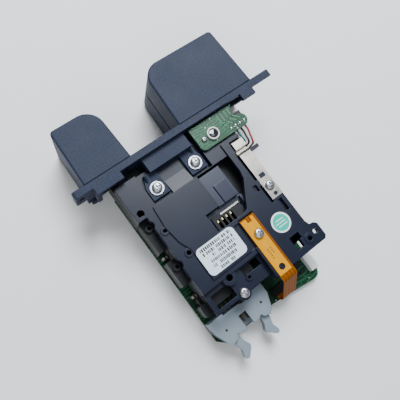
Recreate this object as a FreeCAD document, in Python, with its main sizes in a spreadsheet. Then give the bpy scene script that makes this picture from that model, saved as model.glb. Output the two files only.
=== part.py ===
"""Manual insertion card reader: a card is pushed into the slot between two horns, read and pulled out.

The row frame, in millimetres: the origin is the centre of the card slot at the panel face,
+X runs across the card, +Y into the machine, +Z up, away from the main board.
Every length that can be set by itself is a cell of the sheet named Sizes.
"""
import FreeCAD, Part
import math
import os
import re
import Sketcher

V = FreeCAD.Vector

SIZES = {
    # the card and its path
    "card_width": 53.98, "slot_gap": 1.2, "slot_side": 0.3,
    "guide_thick": 1.8, "bed_thick": 1.8,
    # bezel
    "flange_plus": 49.2, "flange_minus": 65.4, "flange_thick": 3.5, "flange_corner": 1.2,
    "flange_step": 0.5, "flange_low_thick": 1.6, "flange_low_minus": 47.0,
    "tab_plus_rise": 12.0, "tab_minus_rise": 2.4, "post_drop": 11.5, "post_out": 39.4,
    "flange_post_r": 2.4,
    "bezel_half": 15.0, "gap_centre": 4.1, "gap_width": 27.4,
    "small_horn_width": 25.1, "small_horn_reach": 28.8,
    "large_horn_width": 44.5, "large_horn_reach": 32.4,
    "horn_draft": 2.2, "inner_round": 9.0, "outer_round": 2.0, "edge_round": 1.0,
    "horn_wall": 3.0, "horn_front": 5.5, "seam_wall": 1.8,
    "rim_wall": 2.0, "rim_depth": 3.4, "rim_plus": 40.0, "rim_minus": 52.2,
    "rim_plus_length": 14.0, "rim_minus_length": 7.7,
    "tab_hole_x": 46.05, "tab_hole_rise": 9.0, "tab_hole_r": 1.6,
    "joint_boss_r": 3.2, "joint_screw_y": 12.0, "joint_screw_plus": 34.0, "joint_screw_minus": 40.0,
    "tongue_depth": 7.5, "tongue_top": 12.0, "tongue_half": 12.0,
    "lug_centre": 4.5, "lug_spread": 11.2, "lug_y": 18.3, "lug_half": 4.6, "lug_rear": 22.7,
    "lug_top": 8.7, "lug_thick": 2.0, "lug_rib": 1.0,
    # screws: shank and head radii
    "panel_screw_r": 1.5, "panel_head_r": 2.5, "panel_head": 1.9, "washer_r": 3.5, "washer_thick": 0.6,
    "small_screw_r": 1.25, "small_head_r": 2.4, "small_head": 1.7, "screw_reach": 6.0,
    "cross_width": 0.55, "cross_depth": 0.9,
    # upper frame
    "body_half": 32.3, "body_front": 8.0, "body_gap": 0.1,
    "top_low": 9.8, "top_high": 10.8, "plate_thick": 1.8, "frame_wall": 2.0,
    "shoulder_y": 27.0, "narrow_x": 27.7, "plate_rear": 70.0, "lane_rear": 84.0, "lane_x": 4.5,
    "recess_plus": 21.0, "recess_minus": 12.5, "recess_rear": 24.3,
    "deck_top": 7.0, "deck_thick": 1.8, "deck_rear": 81.5,
    "rear_screw_x": 11.5, "rear_screw_y": 80.6, "rear_boss_r": 3.4,
    "window_plus": 5.3, "window_mid": 2.4, "window_step": 41.9, "window_minus": 21.6,
    "window_front": 24.6, "window_rear": 51.4,
    "ear_reach": 4.5, "ear_front": 71.6, "ear_hole_x": 33.6, "ear_hole_y": 78.3, "ear_hole_r": 1.3,
    "lock_ring_r": 2.6, "lock_hole_r": 1.2,
    # contact carriage, its pins and its spring
    "carriage_travel": 5.0, "carriage_drop": 1.1, "pin_r": 1.0, "pin_play": 0.06,
    "pin_front": 47.0, "pin_rear": 60.0, "pin_rise": 5.6, "rail_thick": 2.0, "rail_gap": 0.5,
    "carriage_plus": 5.6, "carriage_minus": 16.4, "carriage_front": 42.2, "carriage_rear": 62.6,
    "carriage_low": 3.9, "carriage_wall": 1.5, "facet_front": 25.7, "facet_top": 8.6,
    "facet_thick": 1.7, "facet_plus": 3.0, "facet_minus": 15.0, "ridge_x": 6.8, "ridge_rise": 0.5,
    "finger_front": 67.9, "finger_depth": 2.4, "finger_low": 0.3, "finger_half": 3.0, "finger_x": 4.0,
    "block_plus": 3.2, "block_minus": 13.2, "block_front": 44.4, "block_rear": 60.6,
    "block_low": 1.9, "block_top": 6.5, "contact_pitch": 2.54, "contact_rows": 7.62,
    "contact_x": 3.1, "contact_y": 49.0, "contact_width": 0.9, "contact_slot": 1.5, "contact_tip": 1.3,
    "spring_x": 11.0, "spring_length": 11.0, "spring_r": 1.9, "spring_wire": 0.5, "spring_coils": 6,
    "spring_rise": 5.4,
    # magnetic head
    "head_x": 16.3, "head_y": 27.0, "head_width": 15.0, "head_length": 12.6, "head_play": 0.1,
    "head_top": 0.4, "head_low": 7.8, "well_wall": 1.8,
    "head_spring_r": 1.5, "head_spring_wire": 0.4,
    # switches that feel the card
    "switch_x": 20.0, "lever_length": 9.0, "lever_pivot_low": 3.9, "lever_width": 2.2,
    "lever_pin_r": 0.5, "lever_play": 0.05,
    "lever_tip": 0.35, "front_switch_y": 10.0, "rear_switch_y": 56.0,
    # lower frame and main board
    "guide_boss_r": 1.9, "guide_boss_x": 28.9, "terminal_front": 45.4, "terminal_rear": 68.0,
    "terminal_top": 3.0,
    "base_low": 9.5, "base_plus": 31.8, "skirt_wall": 2.0, "base_narrow_y": 62.0, "base_rear": 78.0,
    "board_top": 12.4, "board_thick": 1.6, "board_front": 8.0, "board_rear": 100.4,
    "board_step": 96.2, "board_step_x": 2.0, "board_cut": 3.5, "board_round": 4.0, "post_r": 3.0,
    "post_x": 26.6, "post_front": 13.0,
    "post_rear": 72.0, "pillar_x": 28.6, "pillar_half": 2.5, "pillar_front": 73.6, "pillar_rear": 80.4,
    # front sensor board
    "sensor_low": 10.6, "sensor_thick": 1.0, "sensor_plus": 12.5, "sensor_minus": 36.4,
    "sensor_front": 4.2, "sensor_rear": 17.0, "lobe_x": 38.2, "lobe_y": 13.7, "lobe_r": 3.3,
    "sensor_screw_x": 16.4, "sensor_screw_y": 12.0, "sensor_screw_r": 0.8, "sensor_head_r": 1.3,
    "lamp_x": 21.8, "lamp_y": 12.0, "lamp_r": 3.1, "lamp_bore": 2.5, "lamp_rise": 1.2,
    "pad_x": 31.1, "pad_pitch": 2.65, "pad_y": 14.8, "pad_r": 0.85, "wire_r": 0.5,
    # ground strip
    "strip_x": 29.1, "strip_width": 6.4, "strip_thick": 0.4, "strip_rear": 54.5, "strip_front": 28.4,
    "strip_screw_y": 47.9, "strip_hole_y": 52.7, "strip_slot_y": 41.9, "strip_tab": 20.6,
    # flat cable from the contacts to the main board
    "flex_x": 9.7, "flex_width": 8.3, "flex_thick": 0.3, "flex_front": 53.6, "flex_top_rear": 86.0,
    "flex_low_y": 96.5, "flex_bend": 2.6, "stiffener_width": 7.0, "stiffener_x": 9.15,
    "stiffener_thick": 0.4,
    "stiffener_front": 54.2, "stiffener_rear": 84.6, "flex_screw_y": 63.1, "flex_hole_y": 81.4,
    "flex_hole_r": 1.6, "socket_width": 11.0, "socket_depth": 4.2, "socket_rise": 2.4,
    # header with its ejector latches
    "header_x": 15.9, "header_front": 84.0, "header_rear": 95.6, "header_top": 3.3,
    "header_wall": 1.5, "header_back": 2.0, "ear_half": 16.2,
    "cavity_half": 8.8, "key_half": 2.2, "key_front": 88.5, "ear_slot_play": 0.25,
    "latch_x": 10.7, "latch_y": 90.2, "latch_thick": 4.4, "latch_base_r": 3.0, "latch_pin_r": 0.8,
    "latch_play": 0.05, "header_pitch": 2.54, "header_pin": 0.64, "header_pins": 5, "tail_y": 82.4,
    # label and sticker
    "label_x": 9.3, "label_y": 59.2, "label_width": 21.4, "label_depth": 14.2, "label_round": 2.4,
    "paper": 0.1, "sticker_x": 22.2, "sticker_y": 65.3, "sticker_r": 5.0,
}

doc = FreeCAD.newDocument("CardReader")
sheet = doc.addObject("Spreadsheet::Sheet", "Sizes")
for row, (alias, value) in enumerate(SIZES.items(), start=1):
    sheet.set(f"A{row}", alias)
    sheet.set(f"B{row}", str(value))
    sheet.setAlias(f"B{row}", alias)
doc.recompute()

PARTS = []


# ---- expressions ---------------------------------------------------------------------------

def full(text):
    """The expression with the sheet's name before each of its aliases."""
    return re.sub(r"[a-z][a-z_]*", lambda m: f"Sizes.{m[0]}" if m[0] in SIZES else m[0], str(text))


def number(text):
    """The value of an expression."""
    found = sheet.evalExpression(full(text))
    return float(getattr(found, "Value", found))


def minus(text):
    return f"-({text})"


def bind(item, **bindings):
    """Ties properties to expressions; a double underscore in a name stands for a dot."""
    for name, text in bindings.items():
        item.setExpression(name.replace("__", "."), full(text))


# ---- sketches and the features made from them ------------------------------------------------

def polygon(*points):
    return ("polygon", points)


def box(left, right, low, high):
    return polygon((left, low), (right, low), (right, high), (left, high))


def disc(x, y, radius):
    return ("disc", (x, y, radius))


def pin_point(sketch, geometry, vertex, x, y):
    """Fixes a point of the sketch at x, y from its origin."""
    for kind, text in (("DistanceX", x), ("DistanceY", y)):
        index = sketch.addConstraint(Sketcher.Constraint(kind, -1, 1, geometry, vertex, number(text)))
        sketch.setExpression(f"Constraints[{index}]", full(text))


def draw_polygon(sketch, points):
    spots = [V(number(x), number(y), 0) for x, y in points]
    count = len(spots)
    first = sketch.GeometryCount
    for i in range(count):
        sketch.addGeometry(Part.LineSegment(spots[i], spots[(i + 1) % count]), False)
    for i in range(count):
        sketch.addConstraint(Sketcher.Constraint("Coincident", first + i, 2, first + (i + 1) % count, 1))
    for i, (x, y) in enumerate(points):
        pin_point(sketch, first + i, 1, x, y)


def draw_disc(sketch, x, y, radius):
    size = number(radius)
    which = sketch.addGeometry(Part.Circle(V(number(x), number(y), 0), V(0, 0, 1), size), False)
    pin_point(sketch, which, 3, x, y)
    index = sketch.addConstraint(Sketcher.Constraint("Radius", which, size))
    sketch.setExpression(f"Constraints[{index}]", full(radius))


def new_sketch(body, plane, shapes, offset):
    """A sketch on one of the body's own origin planes, moved along that plane's normal."""
    sketch = body.newObject("Sketcher::SketchObject", "Sketch")
    role = f"{plane}_Plane"
    support = [item for item in body.Origin.OriginFeatures if item.Role == role][0]
    sketch.AttachmentSupport = [(support, "")]
    sketch.MapMode = "FlatFace"
    bind(sketch, AttachmentOffset__Base__z=offset)
    for kind, data in shapes:
        if kind == "polygon":
            draw_polygon(sketch, data)
        else:
            draw_disc(sketch, *data)
    return sketch


def extrude(body, kind, plane, shapes, low, high, draft=None):
    """A pad or a pocket between two places along the plane's axis (X, Y or Z)."""
    offset = minus(high) if plane == "XZ" else low
    sketch = new_sketch(body, plane, shapes, offset)
    feature = body.newObject(f"PartDesign::{kind}", kind)
    feature.Profile = sketch
    feature.Refine = True
    bind(feature, Length=f"({high}) - ({low})")
    if kind == "Pocket":
        feature.Reversed = True
    if draft:
        bind(feature, TaperAngle=draft)
    before = body.Shape.Volume if body.Shape and not body.Shape.isNull() else 0.0
    doc.recompute()
    grown = body.Shape.Volume - before
    if abs(grown) < 1e-6 or (grown > 0) != (kind == "Pad"):
        raise RuntimeError(f"{body.Label}: {kind} between {low} and {high} changes nothing")
    return feature


def pad(body, shapes, low, high, plane="XY", draft=None):
    return extrude(body, "Pad", plane, shapes, low, high, draft)


def pocket(body, shapes, low, high, plane="XY"):
    return extrude(body, "Pocket", plane, shapes, low, high)


def round_off(body, radius, wanted, kind="Fillet"):
    """Rounds (or chamfers) the edges of the body that the test picks out."""
    shape = body.Shape
    names = [f"Edge{i}" for i, edge in enumerate(shape.Edges, start=1) if wanted(edge)]
    if not names:
        raise RuntimeError(f"{body.Label}: no edge to round by {radius}")
    base = body.Tip
    feature = body.newObject(f"PartDesign::{kind}", kind)
    feature.Base = (base, names)
    bind(feature, **{"Radius" if kind == "Fillet" else "Size": radius})
    doc.recompute()
    if "Invalid" in feature.State or not body.Shape.isValid():
        raise RuntimeError(f"{body.Label}: the edges can't be rounded by {radius}")
    return feature


def upright(*places):
    """Picks the edges that stand along Z at the given x, y places."""
    spots = [(number(x), number(y)) for x, y in places]

    def wanted(edge):
        ends = [vertex.Point for vertex in edge.Vertexes]
        if len(ends) != 2 or abs(ends[0].z - ends[1].z) < 0.3:
            return False
        return any(all(math.hypot(p.x - x, p.y - y) < 0.02 for p in ends) for x, y in spots)
    return wanted


def finish_part(item, label):
    item.Label = label
    PARTS.append(item)
    return item


def new_body(label):
    body = doc.addObject("PartDesign::Body", "Body")
    body.AllowCompound = True
    return finish_part(body, label)


# ---- Part primitives --------------------------------------------------------------------------

def cylinder(radius, low, high, x, y):
    """An upright cylinder."""
    item = doc.addObject("Part::Cylinder", "Cylinder")
    bind(item, Radius=radius, Height=f"({high}) - ({low})",
         Placement__Base__x=x, Placement__Base__y=y, Placement__Base__z=low)
    return item


def block(left, right, front, rear, low, high):
    item = doc.addObject("Part::Box", "Box")
    bind(item, Length=f"({right}) - ({left})", Width=f"({rear}) - ({front})",
         Height=f"({high}) - ({low})",
         Placement__Base__x=left, Placement__Base__y=front, Placement__Base__z=low)
    return item


def fuse(*items):
    item = doc.addObject("Part::MultiFuse", "Fusion")
    item.Shapes = list(items)
    return item


def cut(base, *tools):
    item = doc.addObject("Part::Cut", "Cut")
    item.Base = base
    item.Tool = tools[0] if len(tools) == 1 else fuse(*tools)
    return item


def group(label, items):
    """Like pieces kept as separate solids in one node."""
    item = doc.addObject("Part::Compound", "Group")
    item.Links = list(items)
    return finish_part(item, label)


def cross_screw(x, y, seat, shank_r, head_r, head, reach, down=True):
    """A pan-head screw with a cross recess; its head stands on the seat's height."""
    way = 1 if down else -1

    def span(a, b):
        return (a, b) if down else (b, a)
    head_low, head_high = span(seat, f"{seat} + ({way} * {head})")
    shank_low, shank_high = span(f"{seat} - ({way} * ({reach}))", seat)
    top = f"{seat} + ({way} * {head})"
    slot_low, slot_high = span(f"{top} - ({way} * cross_depth)", top)
    body = fuse(cylinder(head_r, head_low, head_high, x, y),
                cylinder(shank_r, shank_low, shank_high, x, y))
    span_half, width_half = f"{head_r} * 0.55", "cross_width / 2"
    arms = [block(f"{x} - {a}", f"{x} + {a}", f"{y} - {b}", f"{y} + {b}", slot_low, slot_high)
            for a, b in ((span_half, width_half), (width_half, span_half))]
    return cut(body, *arms)


# ---- places that several pieces share ---------------------------------------------------------

SLOT_HALF = "slot_gap / 2"
PATH_HALF = "card_width / 2 + slot_side"
GUIDE_TOP = f"{SLOT_HALF} + guide_thick"
BED_LOW = f"-({SLOT_HALF} + bed_thick)"
BASE_LOW = "-base_low"
BOARD_TOP = "-board_top"
BODY_REAR = "flange_thick + body_gap"
FLANGE_TOP = "bezel_half - flange_step"
PLATE_LOW = "top_low - plate_thick"
HORNS = {
    "small": {"inner": "gap_centre + gap_width / 2", "way": 1},
    "large": {"inner": "gap_centre - gap_width / 2", "way": -1},
}


def horn_x(size, inset="0"):
    """The inner and outer X of a horn at the panel face, each moved inwards by the inset."""
    way = HORNS[size]["way"]
    inner = HORNS[size]["inner"]
    return f"{inner} + {way} * ({inset})", f"{inner} + {way} * ({size}_horn_width - ({inset}))"


def ordered(a, b):
    return (a, b) if number(a) < number(b) else (b, a)


# ---- bezel ------------------------------------------------------------------------------------

def bezel_half(label, up):
    """One half of the bezel, split at the card's mid-plane; up is 1 for the upper half."""
    body = new_body(label)
    half = ordered("0", f"{up} * bezel_half")
    for size in HORNS:
        tip_y = f"-{size}_horn_reach"
        inner, outer = horn_x(size)
        inner_tip, outer_tip = horn_x(size, f"{size}_horn_reach * tan(horn_draft)")
        pad(body, [polygon((inner, "0"), (inner_tip, tip_y), (outer_tip, tip_y), (outer, "0"))], *half)
        round_off(body, "inner_round", upright((inner_tip, tip_y)))
        round_off(body, "outer_round", upright((outer_tip, tip_y)))
    round_off(body, "edge_round", horn_edges(up))
    if up > 0:
        pad(body, [flange_outline()], "0", "flange_thick", "XZ")
        round_off(body, "flange_corner", flange_corners())
    else:
        pad(body, [box("-flange_low_minus", horn_x("small")[1], f"-({FLANGE_TOP})", "0")],
            "0", "flange_low_thick", "XZ")
    for size in HORNS:
        left, right = ordered(*horn_x(size, "horn_wall"))
        low, high = f"{up} * ({SLOT_HALF} + seam_wall)", f"{up} * (bezel_half - horn_wall)"
        pocket(body, [box(left, right, low, high)],
               f"-({size}_horn_reach - horn_front)", "flange_thick", "XZ")
    for x in ("joint_screw_plus", "-joint_screw_minus"):
        ends = ordered("0", f"{up} * (bezel_half - horn_wall / 2)")
        pad(body, [disc(x, "-joint_screw_y", "joint_boss_r")], *ends)
    pocket(body, [box(minus(PATH_HALF), PATH_HALF, "0", f"{up} * {SLOT_HALF}")],
           "-large_horn_reach - 1", "flange_thick", "XZ")
    if up > 0:
        pocket(body, [disc("tab_hole_x", "tab_hole_rise", "tab_hole_r")], "0", "flange_thick", "XZ")
        rear_rims(body)
    else:
        pad(body, [disc("post_out", "-post_drop", "flange_post_r")], "0", "flange_thick", "XZ")
    return body


def flange_outline():
    """The upper half of the flange: a tall tab at plus X and a thin ledge at minus X."""
    left, right = horn_x("large")[1], horn_x("small")[1]
    tab_low, ledge_low = f"{FLANGE_TOP} - tab_plus_rise", f"{FLANGE_TOP} - tab_minus_rise"
    return polygon((left, "0"), (right, "0"), (right, tab_low), ("flange_plus", tab_low),
                   ("flange_plus", FLANGE_TOP), ("-flange_minus", FLANGE_TOP),
                   ("-flange_minus", ledge_low), (left, ledge_low))


def flange_corners():
    """Picks the outer corners of the flange, which run along Y."""
    sides = (-number("flange_minus"), number("flange_plus"))
    height = number(FLANGE_TOP)

    def wanted(edge):
        ends = [vertex.Point for vertex in edge.Vertexes]
        if len(ends) != 2 or abs(ends[0].y - ends[1].y) < 1:
            return False
        return all(min(abs(p.x - side) for side in sides) < 0.01 and abs(p.z - height) < 0.01
                   for p in ends)
    return wanted


def horn_edges(up):
    """Picks the edges round the outer face of the horns, but for their roots."""
    height = up * number("bezel_half")

    def wanted(edge):
        ends = [vertex.Point for vertex in edge.Vertexes]
        middle = edge.valueAt((edge.FirstParameter + edge.LastParameter) / 2)
        return all(abs(p.z - height) < 0.01 for p in ends) and middle.y < -0.1
    return wanted


def rear_rims(body):
    """The short roofs behind the flange; the plus-X one has a wall below it."""
    rear = f"{BODY_REAR} + rim_depth"
    for outer, way, length in (("rim_plus", 1, "rim_plus_length"), ("-rim_minus", -1, "rim_minus_length")):
        left, right = ordered(outer, f"{outer} - {way} * {length}")
        pad(body, [box(left, right, "flange_thick", rear)], f"{FLANGE_TOP} - rim_wall", FLANGE_TOP)
    pad(body, [box("rim_plus - rim_wall", "rim_plus", "flange_thick", rear)], "0", FLANGE_TOP)


def make_bezel():
    """The two halves, with the tongue and the two screw lugs on the upper one."""
    upper = bezel_half("bezel_upper", 1)
    lug_low = "lug_top - lug_thick"
    tongue_rear = "flange_thick + tongue_depth"
    pad(upper, [box("lug_centre - 2 - tongue_half", "lug_centre - 2 + tongue_half",
                    "flange_thick", tongue_rear)], lug_low, "tongue_top")
    for way in (-1, 1):
        x = f"lug_centre + {way} * lug_spread"
        outer = f"({x}) + {way} * lug_half"
        inner = f"({x}) - {way} * lug_half"
        root = f"({x}) + {way} * (lug_half - 2.2)"
        pad(upper, [polygon((inner, f"{tongue_rear} - 1"), (root, f"{tongue_rear} - 1"),
                            (root, tongue_rear), (outer, f"{tongue_rear} + 5"),
                            (outer, "lug_rear"), (inner, "lug_rear"))], lug_low, "lug_top")
        left, right = ordered(f"{root} - {way} * lug_rib", root)
        pad(upper, [polygon((f"{tongue_rear} - 0.5", "lug_top"), (f"{tongue_rear} - 0.5", "tongue_top - 1"),
                            (tongue_rear, "tongue_top - 1"), (f"{tongue_rear} + 3", "lug_top"))],
            left, right, "YZ")
        pocket(upper, [disc(x, "lug_y", "panel_screw_r")], lug_low, "lug_top")
    lower = bezel_half("bezel_lower", -1)
    for x in ("joint_screw_plus", "-joint_screw_minus"):
        pocket(upper, [disc(x, "-joint_screw_y", "small_screw_r")], "0", "bezel_half - 2 * horn_wall")
        pocket(lower, [disc(x, "-joint_screw_y", "small_screw_r")], "-bezel_half - 1", "0")
        pocket(lower, [disc(x, "-joint_screw_y", "small_head_r + 0.3")],
               "-bezel_half - 1", "-(bezel_half - horn_wall)")
    group("bezel_joint_screws", [
        cross_screw(x, "-joint_screw_y", "-(bezel_half - horn_wall)", "small_screw_r", "small_head_r",
                    "small_head", "bezel_half - horn_wall + screw_reach", down=False)
        for x in ("joint_screw_plus", "-joint_screw_minus")])
    lug_xs = [f"lug_centre + {way} * lug_spread" for way in (-1, 1)]
    group("bezel_washers", [
        cut(cylinder("washer_r", "lug_top", "lug_top + washer_thick", f"({x})", "lug_y"),
            cylinder("panel_screw_r + 0.15", "lug_top - 1", "lug_top + 1", f"({x})", "lug_y"))
        for x in lug_xs])
    group("bezel_screws", [
        cross_screw(f"({x})", "lug_y", "(lug_top + washer_thick)", "panel_screw_r", "panel_head_r",
                    "panel_head", "screw_reach - 1")
        for x in lug_xs])


# ---- upper frame ------------------------------------------------------------------------------

PIN_PLACES = ("pin_front", "pin_rear")
RAIL_SIDES = (("carriage_plus", 1), ("-carriage_minus", -1))
GUIDE_BOSSES = [("guide_boss_x", y) for y in ("shoulder_y + 4", "base_narrow_y - 9.2")]
SLIDE = "hypot(carriage_travel; carriage_drop)"
FINGER_REAR = "finger_front + finger_depth"
SPRING_FRONT = "carriage_rear"
SPRING_REAR = "carriage_rear + spring_length"


def rail_x(outer, way):
    """The X span of the rail beside one flank of the carriage."""
    near = f"{outer} + {way} * rail_gap"
    return ordered(near, f"{near} + {way} * rail_thick")


def frame_outline(inset, front):
    """The upper frame seen from above: wide shoulders, a narrow plate and the cable lane."""
    return polygon((f"-(body_half - {inset})", front), (f"body_half - {inset}", front),
                   (f"body_half - {inset}", f"shoulder_y - {inset}"),
                   (f"narrow_x - {inset}", f"shoulder_y - {inset}"),
                   (f"narrow_x - {inset}", f"plate_rear - {inset}"),
                   (f"-lane_x - {inset}", f"plate_rear - {inset}"),
                   (f"-lane_x - {inset}", f"lane_rear - {inset}"),
                   (f"-(body_half - {inset})", f"lane_rear - {inset}"))


def carriage_window():
    """The opening over the contacts, with its slanted wall on the minus-X side."""
    return polygon(("-window_mid", "window_front"), ("-window_minus", "window_front"),
                   ("-window_minus", "window_front + 9.5"), ("-window_minus + 0.9", "window_front + 13.5"),
                   ("-window_minus + 5.5", "window_step + 3.2"), ("-window_minus + 8.8", "window_rear - 0.8"),
                   ("-window_minus + 11.2", "window_rear"), ("window_plus", "window_rear"),
                   ("window_plus", "window_step"), ("-window_mid", "window_step"))


def guide_slots(body):
    """The slanted slots that the carriage pins run in, through both rails."""
    radius = "(pin_r + pin_play)"
    across = f"{radius} * carriage_drop / {SLIDE}"
    upward = f"{radius} * carriage_travel / {SLIDE}"
    ends, spans = [], []
    for y in PIN_PLACES:
        far_y, far_z = f"{y} + carriage_travel", "pin_rise - carriage_drop"
        ends += [disc(y, "pin_rise", radius), disc(far_y, far_z, radius)]
        spans.append(polygon((f"{y} + {across}", f"pin_rise + {upward}"),
                             (f"{far_y} + {across}", f"{far_z} + {upward}"),
                             (f"{far_y} - {across}", f"{far_z} - {upward}"),
                             (f"{y} - {across}", f"pin_rise - {upward}")))
    left = rail_x(*RAIL_SIDES[1])[0]
    right = rail_x(*RAIL_SIDES[0])[1]
    pocket(body, ends, left, right, "YZ")
    pocket(body, spans, left, right, "YZ")


def make_upper_frame():
    body = new_body("upper_frame")
    pad(body, [frame_outline("0", "body_front")], GUIDE_TOP, "top_low")
    pocket(body, [frame_outline("frame_wall", "body_front + frame_wall")], GUIDE_TOP, PLATE_LOW)
    recess_wall = "1.5"
    pad(body, [box(f"-recess_minus - {recess_wall}", f"recess_plus + {recess_wall}",
                   "body_front", f"recess_rear + {recess_wall}")], "lug_top - 2 * lug_thick", PLATE_LOW)
    pocket(body, [box("-recess_minus", "recess_plus", "body_front - 1", "recess_rear")],
           "lug_top - lug_thick", "top_low")
    pad(body, [polygon(("recess_rear - 7", "lug_top - lug_thick"), ("recess_rear", "lug_top"),
                       ("recess_rear", "lug_top - lug_thick"))],
        "lug_centre - lug_spread + lug_half + 0.6", "lug_centre + lug_spread - lug_half - 0.6", "YZ")
    pad(body, [polygon(("recess_plus + 1.9", "window_front"), ("recess_plus + 2.9", "window_front + 11"),
                       ("recess_plus + 1.6", "window_front + 20"), ("label_x + label_width / 2 + 0.2", "window_rear - 1"),
                       ("label_x + label_width / 2 + 0.2", "plate_rear - 2.5"),
                       ("-lane_x", "plate_rear - 2.5"), ("-lane_x", "lane_rear"),
                       ("-body_half", "lane_rear"), ("-body_half", "sensor_rear + 1.4"),
                       ("-window_minus", "sensor_rear + 1.4"), ("-window_minus", "window_front"))],
        "top_low", "top_high")
    round_off(body, "inner_round", upright(("recess_plus + 2.9", "window_front + 11"),
                                           ("recess_plus + 1.6", "window_front + 20")))
    for outer, way in RAIL_SIDES:
        left, right = rail_x(outer, way)
        pad(body, [box(left, right, "pin_front - 1.8", "pin_rear + carriage_travel + 2.2")],
            GUIDE_TOP, PLATE_LOW)
    guide_slots(body)
    pad(body, [box("-spring_x - spring_r - 0.6", "-spring_x + spring_r + 0.6",
                   SPRING_REAR, f"{SPRING_REAR} + frame_wall")], GUIDE_TOP, PLATE_LOW)
    pocket(body, [carriage_window()], GUIDE_TOP, "top_high")
    pocket(body, [disc(x, y, "guide_boss_r + 0.3") for x, y in GUIDE_BOSSES], GUIDE_TOP, "top_high")
    pocket(body, [disc(f"lug_centre + {way} * lug_spread", "lug_y", "panel_screw_r") for way in (-1, 1)],
           "lug_top - 2 * lug_thick", "lug_top - lug_thick")
    add_rear_deck(body)
    add_ear(body)
    add_small_holes(body)
    return body


def add_rear_deck(body):
    """The lower deck behind the label, with its openings and the screw boss."""
    deck_low = "deck_top - deck_thick"
    pad(body, [box("-lane_x - 1", "narrow_x", "plate_rear - 1", "deck_rear")], deck_low, "deck_top")
    pad(body, [disc("rear_screw_x", "rear_screw_y", "rear_boss_r")], GUIDE_TOP, "deck_top")
    pocket(body, [box("14.8", "25.4", "plate_rear + 2.6", "deck_rear - 2"),
                  box("-3.2", "6.6", "plate_rear + 0.8", "plate_rear + 5")], deck_low, "deck_top")
    pad(body, [disc("label_x + 4.2", "plate_rear + 0.9", "3.6")], deck_low, "top_low - 0.4")
    pad(body, [disc("label_x - 4", "plate_rear + 6.4", "1.7")], deck_low, "deck_top + 0.8")
    pocket(body, [disc("label_x + 4.2", "plate_rear + 0.9", "1.6"),
                  disc("label_x - 4", "plate_rear + 6.4", "0.8")], deck_low, "top_low")
    pocket(body, [disc("rear_screw_x", "rear_screw_y", "small_screw_r")], GUIDE_TOP, "deck_top")
    side = "finger_half + 0.8"
    pocket(body, [box(f"-finger_x - ({side})", f"-finger_x + {side}", "plate_rear - 3",
                      f"{FINGER_REAR} + carriage_travel + 1")], GUIDE_TOP, deck_low)


def add_ear(body):
    """The fixing ear on the minus-X side and the window with a rib before it."""
    edge = "-body_half - ear_reach"
    pad(body, [polygon(("-body_half + 2", "ear_front"), ("-body_half", "ear_front"),
                       ("-body_half - 0.9", "ear_front + 2.4"), ("-body_half - 3", "ear_front + 2.8"),
                       (edge, "ear_front + 4.2"), (edge, "lane_rear - 1.3"),
                       (f"{edge} + 1.3", "lane_rear"), ("-body_half + 2", "lane_rear"))],
        PLATE_LOW, "top_high")
    pad(body, [disc("-ear_hole_x + 4.6", "ear_hole_y + 1.1", "lock_ring_r")], PLATE_LOW, "top_high + 0.5")
    pocket(body, [disc("-ear_hole_x + 4.6", "ear_hole_y + 1.1", "lock_hole_r"),
                  disc("-ear_hole_x", "ear_hole_y", "ear_hole_r")], PLATE_LOW, "top_high + 0.5")
    pocket(body, [polygon(("-body_half + 11.8", "ear_front + 2"), ("-body_half + 6.2", "ear_front + 2"),
                          ("-body_half + 6.2", "ear_front + 5.2"), ("-body_half + 7.6", "ear_front + 5.2"),
                          ("-body_half + 7.6", "lane_rear - 3.4"), ("-body_half + 11.8", "lane_rear - 3.4"))],
           PLATE_LOW, "top_high")


def add_small_holes(body):
    """Holes, ringed bosses, the channel round the ground strip and the slot behind it."""
    ring = "top_low + 0.5"
    pad(body, [disc("narrow_x - 2.9", "window_front + 12.1", "2.1"),
               disc("narrow_x - 5.9", "window_rear - 0.4", "2.1")], "top_low", ring)
    pocket(body, [disc("body_half - 3.2", "shoulder_y - 2.9", "1.75"),
                  disc("narrow_x - 2.9", "window_front + 12.1", "0.9"),
                  disc("narrow_x - 5.9", "window_rear - 0.4", "1.1")], PLATE_LOW, ring)
    strip_left = "-strip_x + strip_width / 2"
    pocket(body, [box(strip_left, f"{strip_left} + 1.2", "strip_front - 2", "strip_slot_y + 0.6"),
                  box(strip_left, f"{strip_left} + 1.2", "strip_slot_y + 4", "strip_rear + 1"),
                  box("-strip_x - 1", "-strip_x + 1", "strip_rear + 1.4", "strip_rear + 8")],
           "top_high - 2", "top_high")
    pocket(body, [box(f"{strip_left} + 2.2", "-window_minus", "window_step + 2", "window_step + 5.4"),
                  box("-flex_x + flex_width / 2 + 0.1", "-window_mid", "flex_front", "plate_rear - 2.5")],
           "top_high - 1.6", "top_high")
    pocket(body, [box("-flex_x - flex_width / 2 - 0.2", "-flex_x + flex_width / 2 + 0.2",
                      "flex_front - flex_thick - 0.5", "flex_front + 0.7")], PLATE_LOW, "top_high")
    pocket(body, [box("-strip_x - strip_width / 2 - 1", f"{strip_left} + 0.2", "strip_tab - 0.6",
                      "strip_front + 0.6")], "top_low - 0.6", "top_high")
    pad(body, [box("-body_half - 6.2", "-body_half + 1", "strip_front - 0.9", "strip_front + 0.9")],
        "top_low - 4", "top_low - 0.6")
    pocket(body, [disc("-strip_x", "strip_screw_y", "small_screw_r"),
                  disc("-flex_x", "flex_screw_y", "small_screw_r")],
           PLATE_LOW, "top_high")
    pad(body, [disc("-sensor_screw_x", "sensor_screw_y", "sensor_head_r"),
               disc("-sensor_minus + 6", "sensor_screw_y - 2", "sensor_head_r")], "top_low", "sensor_low")
    pocket(body, [disc("-sensor_screw_x", "sensor_screw_y", "sensor_screw_r")], PLATE_LOW, "sensor_low")


# ---- card path: guide plate above, lower frame below ---------------------------------------------

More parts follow.
